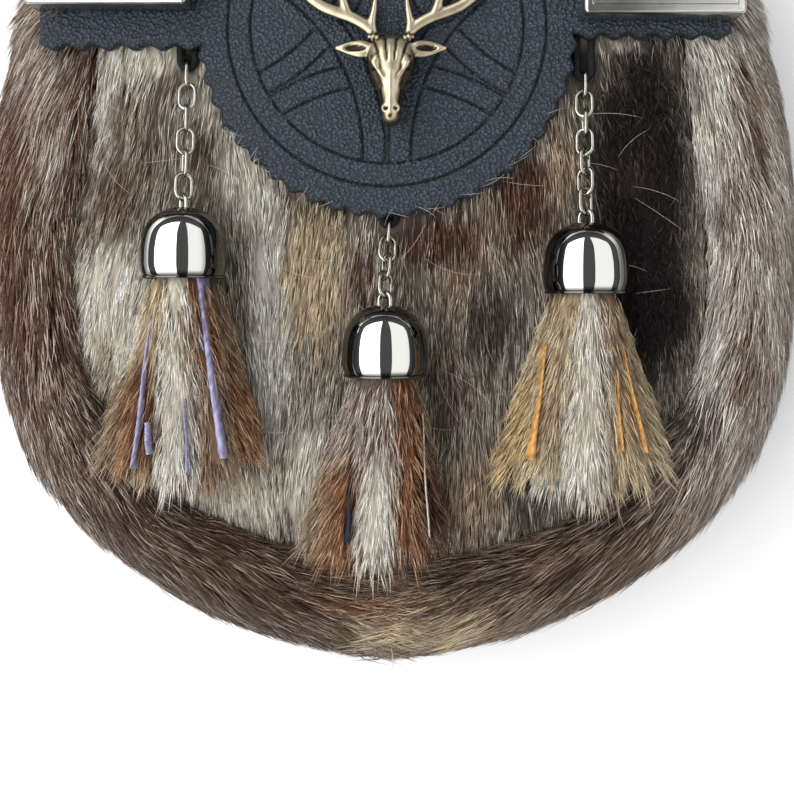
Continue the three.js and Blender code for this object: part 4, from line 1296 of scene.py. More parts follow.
def stray_hairs(material, settings):
    """A few pale hairs that lie loose over the fur and the flap's edge, each an arc of fine wire."""
    rng = np.random.default_rng(settings.seed + STRAY_SEED)
    bodies = []
    share = np.linspace(0, 1, STRAY_POINTS)[:, None]
    turn = round_angles(STRAY_SIDES)
    radius = STRAY_R * (1 - STRAY_TAPER * np.abs(2 * share - 1) ** 3)
    for i in range(STRAY_HAIRS):
        if i % STRAY_ON_DISC == 0:
            angle = math.radians(rng.uniform(*STRAY_ANGLES))
            x = DISC[0] + DISC_R * math.cos(angle)
            y = DISC[1] + DISC_R * math.sin(angle)
            z = FLAP_TOP + STRAY_ABOVE_FLAP
            reach = rng.uniform(*STRAY_DISC_REACH)
        else:
            x = rng.uniform(*STRAY_X)
            y = rng.uniform(*STRAY_Y)
            z = STRAY_Z
            reach = rng.uniform(*STRAY_REACH)
        heading = rng.uniform(0, math.tau)
        way = np.array([math.cos(heading), math.sin(heading), 0])
        side = np.array([-way[1], way[0], 0])
        bend = rng.uniform(-STRAY_BEND, STRAY_BEND)
        line = np.array([x, y, z]) + way * reach * (share - 0.5) + side * reach * bend * (share - 0.5) ** 2
        line[:, 2] += STRAY_ARCH * np.sin(math.pi * share[:, 0])
        ring = side * np.cos(turn)[:, None] + np.array([0, 0, 1.0]) * np.sin(turn)[:, None]
        bodies.append(swept(line[:, None] + ring[None] * radius[:, None]))
    body = joined(bodies)
    colours = np.tile(linear(STRAY_COLOUR), (len(body[0]), 1))
    made = piece("front_panel_stray_hairs", body, material, colours)
    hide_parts("front_panel")


# The tassels

def strip_line(tassel, side, layer, long, share):
    """The middle of a strip from inside the cap to its tip: straight at first, then outwards and down."""
    tip_x = side * tassel["spread"] + tassel["lean"]
    start_x = side * HEAD_R * STRIP_START
    x = start_x + (tip_x - start_x) * share * mix(share, 1, STRIP_STRAIGHT)
    y = STRIP_INSIDE - share * (tassel["long"] * long + STRIP_INSIDE)
    rest = TASSEL_UNDER - CAP_Z + STRIP_THICK / 2
    crown = (HEAD_R - STRIP_THICK / 2 - GAP) * math.sqrt(1 - STRIP_CROWD * side * side)
    start = crown if layer else -crown
    end = rest + STRIP_HEAP * (1 - STRIP_HEAP_FALL * abs(side)) if layer else rest
    z = start + (end - start) * smooth(share, 0, STRIP_SETTLE)
    mouth_y = tassel["top"] - CAP_HIGH
    return np.stack([tassel["x"] + x, mouth_y + y, CAP_Z + z], -1)


def strip_grid(tassel, row, share, sides, scale):
    """Rings of a strip, ovals about its middle, as wide and thick as its swell says, and that middle."""
    side, layer, long, wide, _ = row
    middle = strip_line(tassel, side, layer, long, share)
    swell = np.array(STRIP_SWELL)
    half_wide = np.interp(share, swell[:, 0], swell[:, 1]) * wide / 2 * scale
    half_thick = np.interp(share, swell[:, 0], swell[:, 2]) * STRIP_THICK / 2 * scale
    angle = np.linspace(0, math.tau, sides)
    ring = np.zeros((len(share), sides, 3))
    ring[..., 0] = half_wide[:, None] * np.cos(angle)
    ring[..., 2] = half_thick[:, None] * np.sin(angle)
    return middle[:, None] + ring, middle


def clear_of_edges(name, places):
    """Whether each place is off the cut edges of hide that show between a tassel's strips."""
    clear = np.ones(len(places), bool)
    for tassel, _, x0, y0, x1, y1, wide0, wide1 in EDGES:
        if tassel != name:
            continue
        share = (y0 - places[:, 1]) / (y0 - y1)
        away = np.abs(places[:, 0] - (x0 + (x1 - x0) * share))
        half = (wide0 + (wide1 - wide0) * share) / 2
        clear &= (share < -EDGE_CLEAR_BEFORE) | (share > 1.0) | (away > half)
    return clear


def strip_coat(upper, lower, y, middle_y):
    """The coat at each height of a strip: the upper one, and the lower one below the strip's middle."""
    low = smooth(-y, -middle_y - STRIP_COAT_BLEND, -middle_y + STRIP_COAT_BLEND)[:, None]
    return mix(coat_values(upper), coat_values(lower), low)


def tassel_fur(name, material, undercoat, settings, seed):
    """A tassel: seven strips of hide in the cap, each with hair along it that fans out and passes its end."""
    rng = np.random.default_rng(settings.seed + seed)
    tassel = TASSELS[name]
    length = settings.tassel_length / MM
    hides, hide_shades, furs, fur_colours = [], [], [], []
    for row, (upper, lower) in zip(STRIPS, STRIP_COATS[name]):
        stations, sides, scale = STRIP_HIDE_GRID
        rings, _ = strip_grid(tassel, row, np.linspace(0.0, STRIP_END, stations), sides, scale)
        middle_y = rings[..., 1].mean()
        hide = swept(rings[:, :-1])
        hides.append(hide)
        hide_shades.append(hide_colours(strip_coat(upper, lower, hide[0][:, 1], middle_y), STRIP_HIDE_COLOUR))

        stations, sides, scale = STRIP_HAIR_GRID
        share = np.linspace(STRIP_HAIR_START, STRIP_END, stations)
        grid, middle = strip_grid(tassel, row, share, sides, scale)
        angle = np.linspace(0, math.tau, sides)
        down = unit(np.gradient(middle, axis=0))[:, None]
        fan = row[4] * smooth(share, *STRIP_FAN_REACH)[:, None]
        turn = np.radians(fan + STRIP_SIDE_FAN * np.cos(angle)[None])[..., None]
        ways = down * np.cos(turn) + np.array([1.0, 0, 0]) * np.sin(turn)
        normal = unit((grid - middle[:, None]) * np.array(STRIP_FACING) + TINY)
        weight = STRIP_UNDER_HAIR + (1 - STRIP_UNDER_HAIR) * smooth(np.sin(angle), *STRIP_UNDER_TURN)
        weight = weight[None] * np.ones((len(share), 1))
        count = settings.tassel_hairs // len(STRIPS) // TASSEL_LOCK.hairs
        rows, columns = scattered(grid, weight, count, rng)
        places = between(grid, rows, columns)
        way = unit(between(ways, rows, columns))
        clear = clear_of_edges(name, places + way * length * EDGE_CLEAR_REACH)
        places, way, rows, columns = places[clear], way[clear], rows[clear], columns[clear]
        seen_y = places[:, 1] + way[:, 1] * length * TASSEL_LOCK.reach
        seen_y = seen_y + rng.normal(0, STRIP_COAT_SCATTER, len(places))
        coat = strip_coat(upper, lower, seen_y, middle_y)
        coat[:, CURL] += TASSEL_CURL
        fur, colours = locks(
            places, way, unit(between(normal, rows, columns)), coat, length,
            settings.hair_width / MM, TASSEL_LOCK, rng)
        furs.append(fur)
        fur_colours.append(colours)
    hide = piece(f"tassel_{name}_hide", joined(hides), undercoat, np.concatenate(hide_shades))
    hair = piece(f"tassel_{name}_hair", joined(furs), material, np.concatenate(fur_colours))
    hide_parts(f"tassel_{name}")
    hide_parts(f"tassel_{name}")


def tassel_edges(name, material):
    """Cut edges of the strips' hide: thin upright slabs along a line, wider at one end, softly wavy."""
    rng = np.random.default_rng(EDGE_SEED)
    bodies, colours = [], []
    share = np.linspace(0, 1, EDGE_POINTS)
    angle = np.linspace(0, math.tau, EDGE_SIDES + 1)[:-1]
    oval_x = np.sign(np.cos(angle)) * np.abs(np.cos(angle)) ** EDGE_SQUARE
    oval_z = np.sign(np.sin(angle)) * np.abs(np.sin(angle)) ** EDGE_SQUARE
    for tassel, colour, x0, y0, x1, y1, wide0, wide1 in EDGES:
        if tassel != name:
            continue
        x = x0 + (x1 - x0) * share + EDGE_WAVE * np.sin(share * EDGE_WAVES + x0)
        x += EDGE_JITTER * rng.normal(0, 1, EDGE_POINTS)
        y = y0 + (y1 - y0) * share
        half = (wide0 + (wide1 - wide0) * share ** EDGE_FLARE) / 2
        half *= 1 + EDGE_ROUGH * rng.normal(0, 1, EDGE_POINTS)
        top = EDGE_TOP + EDGE_DROP * (smooth(y, *EDGE_DROP_Y) - EDGE_RAISE)
        rings = np.zeros((EDGE_POINTS, EDGE_SIDES, 3))
        rings[..., 0] = x[:, None] + half[:, None] * oval_x
        rings[..., 1] = y[:, None]
        rings[..., 2] = EDGE_UNDER + (top - EDGE_UNDER)[:, None] * (0.5 + 0.5 * oval_z)
        body = swept(rings)
        bodies.append(body)
        tone = linear(EDGE_COLOURS[colour]) * rng.uniform(*EDGE_SHADES, (len(body[0]), 1))
        colours.append(np.clip(tone, 0, 1))
    made = piece(f"tassel_{name}_edges", joined(bodies), material, np.concatenate(colours))
    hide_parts(f"tassel_{name}")


# Metal

def wire_loop(long, wide, wire, per_end, sides):
    """A ring of round wire with straight sides, in the XY plane, long along Y."""
    end_r = (wide - wire) / 2
    straight = (long - wire) / 2 - end_r
    angle = np.linspace(0, math.pi, per_end)
    turn = round_angles(sides)
    rings = []
    for end in (1, -1):
        out = np.stack([np.cos(angle), np.sin(angle)], -1) * end
        reach = end_r + wire / 2 * np.cos(turn)
        ring = np.zeros((per_end, sides, 3))
        ring[..., 0:2] = out[:, None] * reach[None, :, None]
        ring[..., 1] += end * straight
        ring[..., 2] = wire / 2 * np.sin(turn)
        rings.append(ring)
    return np.concatenate(rings)


def cap_profile():
    """The bell's line from its crown to its mouth: a curve outside, a rolled rim and a straight inside."""
    crown = [(out, CAP_HIGH - down) for out, down in CAP_CROWN]
    outside = spline(crown + CAP_MOUTH, np.linspace(0, 1, CAP_PROFILE_POINTS))
    angle = np.radians(np.linspace(*CAP_RIM_TURN, CAP_RIM_POINTS))
    rim = np.stack([CAP_RIM_OUT + CAP_RIM_R * np.cos(angle), CAP_RIM_R + CAP_RIM_R * np.sin(angle)], -1)
    return np.concatenate([outside, rim, CAP_INSIDE])


def cap_shade(height, turn):
    """Painted shade on the cap: its colour is full towards the front and dark round its sides, its crown and
    its rim.
    """
    front = smooth(np.abs(np.sin(turn)), *CAP_FRONT)
    low, high = (CAP_HIGH - down for down in CAP_CROWN_DOWN)
    crown = 1 - CAP_CROWN_SHADE * smooth(height, low, high)
    return front[None, :] * (crown * smooth(height, *CAP_RIM_UP))[:, None]


def cap(name, material, metals):
    """A bell turned about Y, with its eye of wire on top."""
    tassel = TASSELS[name]
    profile = cap_profile()
    angle = round_angles(CAP_SIDES)
    rings = np.zeros((len(profile), CAP_SIDES, 3))
    rings[..., 0] = profile[:, 0:1] * np.cos(angle)
    rings[..., 1] = profile[:, 1:2]
    rings[..., 2] = profile[:, 0:1] * np.sin(angle)
    rings[[0, -1]] *= np.array([CAP_POLE, 1, CAP_POLE])
    bell = swept(rings)
    # painted shade: the bell is darker round its sides, its crown and its rim
    shade = np.concatenate([cap_shade(profile[:, 1], angle).ravel(), np.zeros(2)])[:, None]
    bell_colour = np.array(metals.smoked) * (CAP_SIDE_SHADE + (1 - CAP_SIDE_SHADE) * shade)
    eye_rings = wire_loop(EYE_LONG, EYE_WIDE, EYE_WIRE, EYE_END_POINTS, EYE_SIDES)
    roll = math.radians(tassel["eye_roll"])
    turned = eye_rings.copy()
    turned[..., 0] = eye_rings[..., 0] * math.cos(roll) + eye_rings[..., 2] * math.sin(roll)
    turned[..., 2] = -eye_rings[..., 0] * math.sin(roll) + eye_rings[..., 2] * math.cos(roll)
    turned[..., 1] += CAP_HIGH - EYE_SUNK + EYE_LONG / 2
    eye = looped(turned)
    points, faces = joined([bell, eye])
    points = points + np.array([tassel["x"], tassel["top"] - CAP_HIGH, CAP_Z])
    eye_colour = np.tile(np.array(metals.chain), (len(eye[0]), 1))
    colours = np.concatenate([bell_colour, eye_colour])
    made = piece(f"cap_{name}_bell", (points, faces), material, colours)
    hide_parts(f"cap_{name}")


def chain(name, material):
    """Links from the thong to the cap's eye, each turned about the chain's line by its own roll."""
    tassel = TASSELS[name]
    thong_x, thong_y = tassel["thong"]
    start = Vector((thong_x, thong_y + THONG_THICK / 2, THONG_Z))
    end = Vector((tassel["x"], tassel["top"] - EYE_SUNK + EYE_LONG - EYE_WIRE / 2, CAP_Z))
    line = end - start
    way = line.normalized()
    reach = (LINK_LONG - LINK_WIRE) / 2
    first = reach - (THONG_THICK + LINK_WIRE) / 2 - LINK_PLAY
    last = line.length - reach + (EYE_WIRE + LINK_WIRE) / 2 + LINK_PLAY
    turn_down = Vector((0, -1, 0)).rotation_difference(way)
    loop = wire_loop(LINK_LONG, LINK_WIDE, LINK_ROUND, LINK_END_POINTS, LINK_SIDES)
    count = len(tassel["rolls"])
    for i, roll in enumerate(tassel["rolls"]):
        turn = np.array((Quaternion(way, math.radians(roll)) @ turn_down).to_matrix())
        place = np.array(start + way * (first + (last - first) * i / (count - 1)))
        points, faces = looped(loop @ turn.T + place)
        made = piece(f"link_{name}_{i + 1}_wire", (points, faces), material)
        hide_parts(f"link_{name}_{i + 1}")


def thong(name, material):
    """The loop of leather cord that carries the chain."""
    thong_x, thong_y = TASSELS[name]["thong"]
    loop = wire_loop(THONG_LONG, THONG_WIDE, THONG_THICK, THONG_END_POINTS, THONG_SIDES)
    body = looped(loop + np.array([thong_x, thong_y + THONG_LONG / 2, THONG_Z]))
    press_and_painted_shading = np.full((len(body[0]), 3), THONG_PRESS)
    made = piece(f"thong_{name}_cord", body, material, press_and_painted_shading)
    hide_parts(f"thong_{name}")


def plate(name, material):
    """A corner plate: rounded rectangles from its foot to its sunk field, each set in by the profile."""
    corner = np.radians(np.linspace(0, 90, PLATE_CORNER_POINTS))
    rings = []
    for inset, z in PLATE_PROFILE:
        radius = max(PLATE_CORNER - inset, PLATE_LEAST_CORNER)
        half = np.array([PLATE_WIDE / 2 - inset - radius, PLATE_TALL / 2 - inset - radius])
        ring = []
        for quarter, signs in enumerate([(1, 1), (-1, 1), (-1, -1), (1, -1)]):
            angle = corner + quarter * math.pi / 2
            ring.append(np.stack([np.cos(angle), np.sin(angle)], -1) * radius + half * np.array(signs))
        flat = np.concatenate(ring)
        rings.append(np.concatenate([flat, np.full((len(flat), 1), z)], axis=1))
    points, faces = swept(np.array(rings))
    x, y = PLATES[name]
    made = piece(f"{name}_cast", (points + np.array([x, y, BADGE_BASE]), faces), material)
    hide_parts(name)
    keep_creases(made, PLATE_CREASE)


def keep_creases(made, degrees):
    """Smooth shading, but edges sharper than an angle stay crisp."""
    bpy.context.view_layer.objects.active = made
    for other in bpy.context.selected_objects:
        other.select_set(False)
    made.select_set(True)
    bpy.ops.object.shade_smooth_by_angle(angle=math.radians(degrees))
    made.select_set(False)


# The badge

def lying_bar(line, wide, thick, sides=14, steps=12):
    """A bar whose oval sections stand square to its line in XY, finely spaced along a curve."""
    share = np.linspace(0, 1, steps * (len(line) - 1) + 1)
    middle = spline(line, share)
    halves = spline(np.stack([wide, thick], -1), share) / 2
    along = unit(np.gradient(middle[:, 0:2], axis=0))
    angle = round_angles(sides)
    rings = np.zeros((len(share), sides, 3))
    rings[..., 0] = middle[:, 0:1] + along[:, 1:2] * halves[:, 0:1] * np.cos(angle)
    rings[..., 1] = middle[:, 1:2] - along[:, 0:1] * halves[:, 0:1] * np.cos(angle)
    rings[..., 2] = middle[:, 2:3] + halves[:, 1:2] * np.sin(angle)
    return swept(rings)


def ball(centre, radii, rings=14, sides=18, pole=0.02):
    """An ellipsoid, its first and last rings a small angle off its poles."""
    polar = np.linspace(pole, math.pi - pole, rings)
    angle = round_angles(sides)
    points = np.zeros((rings, sides, 3))
    points[..., 0] = np.sin(polar)[:, None] * np.cos(angle)
    points[..., 1] = np.sin(polar)[:, None] * np.sin(angle)
    points[..., 2] = np.cos(polar)[:, None]
    return swept(points * np.array(radii) + np.array(centre))


def badge_bodies():
    """The stag's head, ears and antlers as overlapping bodies, with the foot that meets the flap."""
    head = np.array(HEAD_SECTIONS)
    line = np.stack([np.zeros(len(head)), head[:, 0], head[:, 3]], -1)
    bodies = [lying_bar(line, head[:, 1], head[:, 2], sides=HEAD_SIDES)]
    bodies += [ball(centre, radii) for centre, radii in BADGE_FOOT]
    for side in (-1, 1):
        for path in ANTLER.values():
            x, y, r = np.array(path).T
            line = np.stack([side * x, y, np.full(len(x), ANTLER_Z)], -1)
            thick = ANTLER_FLAT * np.minimum(1, ANTLER_THIN + r / ANTLER_FULL_R)
            bodies.append(lying_bar(line, 2 * r, thick))
        x, y, wide, thick = np.array(EAR).T
        bodies.append(lying_bar(np.stack([side * x, y, np.full(len(x), EAR_Z)], -1), wide, thick))
        bodies += [ball((side * x, y, z), radii) for (x, y, z), radii in BADGE_PAIRS]
    return joined(bodies)


def badge_relief(x, y):
    """How much the casting is raised or sunk at (x, y): a fan on the crown, ridges, pits and beaded burrs."""
    side = np.abs(x)
    fan = x / np.maximum(y - FAN_CENTRE_Y, FAN_LEAST) * FAN_GROOVES
    crown = smooth(y, *FAN_Y_IN) * fading(y, *FAN_Y_OUT) * fading(side, *FAN_X_OUT)
    relief = -FAN_DEEP * crown * np.abs(np.sin(fan * math.pi)) ** FAN_SHARP
    for high, out, at_y, slope, wide, fade_in, fade_out in HEAD_RIDGES:
        away = side - out - (y - at_y) * slope
        relief += high * hump(away, wide) * smooth(y, *fade_in) * fading(y, *fade_out)
    for deep, out, at_y, across, along, fade in HEAD_PITS:
        relief -= deep * fading(np.hypot((side - out) * across, (y - at_y) * along), *fade)
    burr = fading(np.hypot(side - BURR[0], y - BURR[1]), *BURR_FADE)
    relief += BURR_HIGH * burr * np.sin((side * BURR_TWIST[0] + y * BURR_TWIST[1]) * BURR_BEADS)
    return relief


def smoothed(values, edges, rounds, share=0.5):
    """Each point's value moved towards the mean of its neighbours, some rounds of it."""
    degree = np.bincount(edges.ravel(), minlength=len(values))[:, None].clip(1)
    for _ in range(rounds):
        total = np.zeros_like(values)
        np.add.at(total, edges[:, 0], values[edges[:, 1]])
        np.add.at(total, edges[:, 1], values[edges[:, 0]])
        values = values + share * (total / degree - values)
    return values


def read_rows(items, name, width, kind=float):
    """One attribute of every item of a mesh, as rows of numbers."""
    values = np.empty(len(items) * width, kind)
    items.foreach_get(name, values)
    return values.reshape(-1, width)


def aged_and_shaded(points, edges, normals, relief, metals):
    """The casting's colours: brass with a faint patina, tarnished in its hollows, and with painted shade on
    its sides, which turn away from straight up.
    """
    wide = smoothed(points, edges, BADGE_HOLLOW_SMOOTHING)
    hollow = np.einsum("ij,ij->i", wide - points, normals)
    dark = smooth(hollow, *HOLLOW_DEPTHS) * HOLLOW_DARK
    dark += smooth(-relief, *RELIEF_DEPTHS) * RELIEF_DARK
    # painted shade: faces that turn away from straight up are darker
    dark += fading(normals[:, 2], *SHADED_SIDE_FACING) * SIDE_PAINTED_SHADE
    dark = np.clip(dark, 0, 1)[:, None]
    rng = np.random.default_rng(PATINA_SEED)
    patina = 1 + PATINA * waves(points[:, 0], points[:, 1], PATINA_WAVE, rng)[:, None]
    return np.clip(mix(np.array(metals.brass) * patina, np.array(metals.tarnish_and_shade), dark), 0, 1)


def stag_badge(material, metals):
    """The badge: overlapping bodies fused by a voxel remesh, smoothed, then pressed into relief."""
    raw = piece("stag_badge_cast", badge_bodies(), material)
    fuse = raw.modifiers.new("Fuse", "REMESH")
    fuse.mode = "VOXEL"
    fuse.voxel_size = BADGE_VOXEL * MM
    bpy.context.view_layer.update()
    fused = bpy.data.meshes.new_from_object(raw.evaluated_get(bpy.context.evaluated_depsgraph_get()))
    raw.modifiers.clear()
    edges = read_rows(fused.edges, "vertices", 2, np.int64)
    points = smoothed(read_rows(fused.vertices, "co", 3) / MM, edges, BADGE_SMOOTHING)
    fused.vertices.foreach_set("co", (points * MM).ravel())
    fused.update()
    normals = read_rows(fused.vertices, "normal", 3)
    relief = badge_relief(points[:, 0], points[:, 1]) * smooth(normals[:, 2], *BADGE_FRONT)
    points = points + normals * relief[:, None] + normals * BADGE_GROWS
    points[:, 2] = np.maximum(points[:, 2], 0)
    paint(fused, aged_and_shaded(points, edges, normals, relief, metals))
    points = points + np.array([BADGE_X, 0, BADGE_BASE])
    fused.vertices.foreach_set("co", (points * MM).ravel())
    fused.polygons.foreach_set("use_smooth", np.ones(len(fused.polygons), bool))
    fused.materials.clear()
    fused.materials.append(material)
    fused.update()
    raw.data = fused
    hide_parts("stag_badge")


# The flap

def toothed_line(start, end, step, depth):
    """Soft scallops below a level line: depth times half of one less the cosine."""
    count = round(abs(end[0] - start[0]) / step)
    share = np.linspace(0, 1, count * TOOTH_POINTS + 1)
    x = start[0] + (end[0] - start[0]) * share
    return np.stack([x, start[1] - depth * (0.5 - 0.5 * np.cos(math.tau * count * share))], -1)


def straight_line(start, end, step):
    """Even points from start to end, without the last."""
    start, end = np.array(start, float), np.array(end, float)
    count = max(int(np.linalg.norm(end - start) / step), 1)
    return start + (end - start) * np.arange(count)[:, None] / count


def flap_outline():
    """The flap laid flat, anticlockwise: wings and disc with pinked edges, straight sides, fold and tail."""
    left_meet = math.pi + math.asin((DISC[1] - WING_LEFT_Y) / DISC_R)
    right_meet = math.tau - math.asin((DISC[1] - WING_RIGHT_Y) / DISC_R)
    teeth = round(DISC_R * (right_meet - left_meet) / DISC_TEETH_STEP)
    share = np.linspace(0, 1, teeth * TOOTH_POINTS + 1)
    angle = left_meet + (right_meet - left_meet) * share
    r = DISC_R - TOOTH / 2 * np.cos(math.tau * teeth * share)
    disc = np.stack([DISC[0] + r * np.cos(angle), DISC[1] + r * np.sin(angle)], -1)
    left = toothed_line((FLAP_LEFT, WING_LEFT_Y), (disc[0, 0], WING_LEFT_Y), WING_TEETH_STEP, TOOTH)
    right = toothed_line((disc[-1, 0] + 1, WING_RIGHT_Y), (FLAP_RIGHT, WING_RIGHT_Y), WING_TEETH_STEP, TOOTH)
    tail_y = FOLD_Y + math.pi * FOLD_R
    corners = [
        (FLAP_RIGHT, WING_RIGHT_Y), (FLAP_RIGHT, tail_y), (TAIL_HALF_WIDE, tail_y),
        (TAIL_HALF_WIDE, tail_y + TAIL_LENGTH), (-TAIL_HALF_WIDE, tail_y + TAIL_LENGTH),
        (-TAIL_HALF_WIDE, tail_y), (FLAP_LEFT, tail_y), (FLAP_LEFT, WING_LEFT_Y),
    ]
    sides = [straight_line(a, b, FLAP_SIDE_STEP) for a, b in zip(corners[:-1], corners[1:])]
    return np.concatenate([left[:-1], disc, right[:-1], *sides])


def arc_between(start, end, bow):
    """A circle's arc through start and end, moved by bow to the left of the chord, and some way past both."""
    start, end = np.array(start), np.array(end)
    chord = end - start
    half = np.linalg.norm(chord) / 2
    left = np.array([-chord[1], chord[0]]) / (2 * half)
    radius = (half * half + bow * bow) / (2 * bow)
    centre = (start + end) / 2 + left * (bow - radius)
    spread = math.asin(half / radius) * KNOT_PAST
    angle = np.linspace(-spread, spread, KNOT_ARC_POINTS)[:, None]
    return centre + radius * (np.cos(angle) * left + np.sin(angle) * unit(chord))


def knot_bands(inner):
    """The middles of two three-sided bands in the inner ring, each as three arcs."""
    bands = []
    for first in (-90, 90):
        arcs = []
        for corner in (first, first + 120, first + 240):
            angle = np.radians([corner + KNOT_SPLAY, corner + 120 - KNOT_SPLAY])
            start, end = np.array(DISC) + inner * np.stack([np.cos(angle), np.sin(angle)], -1)
            arcs.append(arc_between(start, end, KNOT_BOW))
        bands.append(arcs)
    return bands


def groove_lines():
    """The embossed lines: two rings, and two three-sided bands woven in them, the first over the second."""
    centre = np.array(DISC)
    lines = []
    for radius in GROOVE_RADII:
        angle = np.linspace(0, math.tau, int(radius * GROOVE_POINTS_PER_MM))[:, None]
        lines.append(centre + radius * np.concatenate([np.cos(angle), np.sin(angle)], axis=1))
    inner = GROOVE_RADII[1]
    bands = knot_bands(inner)
    over = np.concatenate(bands[0])
    for band, arcs in enumerate(bands):
        for arc in arcs:
            left = left_of(unit(np.gradient(arc, axis=0)))
            others = np.concatenate([one for one in arcs if one is not arc])
            for side in (-1, 1):
                line = arc + left * side * KNOT_HALF_WIDE
                keep = np.linalg.norm(line - centre, axis=1) < inner
                keep &= nearest(line, others) > KNOT_HALF_WIDE - KNOT_CROSSING
                if band == 1:
                    keep &= nearest(line, over) > KNOT_HALF_WIDE
                lines.append(line[keep])
    return lines


def inside_outline(points, outline):
    """Whether each point is inside a closed outline, by counting the sides that a level line crosses."""
    a, b = outline, np.roll(outline, -1, axis=0)
    px, py = points[:, 0:1], points[:, 1:2]
    spans = (a[:, 1] > py) != (b[:, 1] > py)
    rise = np.where(b[:, 1] == a[:, 1], LEAST, b[:, 1] - a[:, 1])
    cross_x = a[:, 0] + (py - a[:, 1]) * (b[:, 0] - a[:, 0]) / rise
    return (spans & (px < cross_x)).sum(1) % 2 == 1


def nearest(points, others):
    """The distance from each point to the nearest of the others."""
    found = np.empty(len(points))
    for start in range(0, len(points), AT_ONCE):
        part = points[start:start + AT_ONCE]
        found[start:start + AT_ONCE] = np.linalg.norm(part[:, None] - others[None], axis=-1).min(1)
    return found


def folded(flat, depth):
    """The flap bent over the top: level in front, a half circle over the fold, level again for the tail.

    depth is the distance below the outer face.
    """
    x, s = flat[:, 0], flat[:, 1]
    angle = np.clip((s - FOLD_Y) / FOLD_R, 0, math.pi)
    front = np.minimum(s, FOLD_Y)
    tail = np.maximum(s - FOLD_Y - math.pi * FOLD_R, 0)
    r = FOLD_R - depth
    y = front + r * np.sin(angle) - tail
    z = FOLD_Z + r * np.cos(angle)
    return np.stack([x, y, z], -1)


def flap_points(outline, lines):
    """Points of the flat flap: its outline, rows inside it, an even grid, and close rows by each groove."""
    step = unit(np.roll(outline, -1, axis=0) - np.roll(outline, 1, axis=0))
    inward = left_of(step)
    beside = []
    for line in lines:
        if len(line) < LEAST_LINE:
            continue
        left = left_of(unit(np.gradient(line, axis=0)))
        sparse = slice(0, None, 2)
        beside += [line[sparse] + left[sparse] * off for off in GROOVE_OFFSETS]
    step_x, step_y = FLAP_STEPS
    far = outline[:, 1].max()
    grid_x, grid_y = np.meshgrid(np.arange(FLAP_LEFT, FLAP_RIGHT, step_x), np.arange(FLAP_LOW_Y, far, step_y))
    grid_x[::2] += step_x / 2
    grid = np.stack([grid_x.ravel(), grid_y.ravel()], -1)
    grid = grid[nearest(grid, np.concatenate(lines)) > GROOVE_CLEAR]
    inner = np.concatenate([grid, *beside])
    inner = inner[inside_outline(inner, outline)]
    inner = inner[nearest(inner, outline) > GROOVE_CLEAR]
    rims = [outline + inward * off for off in RIM_OFFSETS]
    rims = [rim[inside_outline(rim, outline)] for rim in rims]
    return np.concatenate([outline, *rims, inner])


def leather_flap(material, settings):
    """The flap as a closed sheet with fine points along its embossed lines and its pinked edge."""
    outline = flap_outline()
    lines = groove_lines()
    count = len(outline)
    sides = [(i, (i + 1) % count) for i in range(count)]
    flat = [Vector(point) for point in flap_points(outline, lines)]
    spots, _, cells, origins, *_ = delaunay_2d_cdt(flat, sides, [list(range(count))], 1, SAME_POINT)
    points = np.array([tuple(spot) for spot in spots])
    faces = np.array(cells)
    places = {i: found for found, sources in enumerate(origins) for i in sources}
    border = np.array([places[i] for i in range(count)])

    groove = nearest(points, np.concatenate(lines))
    lip = hump(groove - LIP_PLACE, LIP_WIDE)
    rim = nearest(points, outline)
    rim[border] = 0
    depth = settings.groove_deep / MM * hump(groove, GROOVE_HALF_WIDE) - LIP_HIGH * lip
    depth += RIM_ROUND_DEEP * fading(rim, 0, RIM_ROUND_WIDE) ** 2
    rng = np.random.default_rng(SAG_SEED)
    sag = SAG * waves(points[:, 0], points[:, 1], SAG_WAVE, rng) * smooth(FOLD_Y - points[:, 1], 0, SAG_FADE)
    top = folded(points, np.clip(depth, *FLAP_RELIEF) - sag * SAG_SHARE)
    under = folded(points, np.full(len(points), FLAP_THICK))
    total = len(points)
    a, b = border, np.roll(border, -1)
    walls = np.concatenate([np.stack([a, a + total, b + total], -1), np.stack([a, b + total, b], -1)])
    body = np.concatenate([top, under]), np.concatenate([faces, faces[:, ::-1] + total, walls])
    # Painted shade along the grooves and a painted highlight on their lips, then darker along the cut edge;
    # the underside keeps its colour
    press_and_painted_shading = 1 - GROOVE_PAINTED_SHADE * hump(groove, GROOVE_PAINTED_SHADE_WIDE) + LIP_PAINTED_HIGHLIGHT * lip
    press_and_painted_shading *= 1 - RIM_DARK * fading(rim, 0, RIM_DARK_WIDE)
    press_and_painted_shading = np.concatenate([press_and_painted_shading, np.ones(total)])[:, None] * np.ones(3)
    made = piece("flap_leather", body, material, press_and_painted_shading)
    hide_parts("flap")


# The stage

def light_panel(name, place, size, power):
    """A soft rectangular light that looks straight down."""
    light = bpy.data.lights.new(name, "AREA")
    light.shape = "RECTANGLE"
    light.size, light.size_y = size
    light.energy = power
    made = bpy.data.objects.new(name, light)
    made.location = place
    bpy.context.scene.collection.objects.link(made)


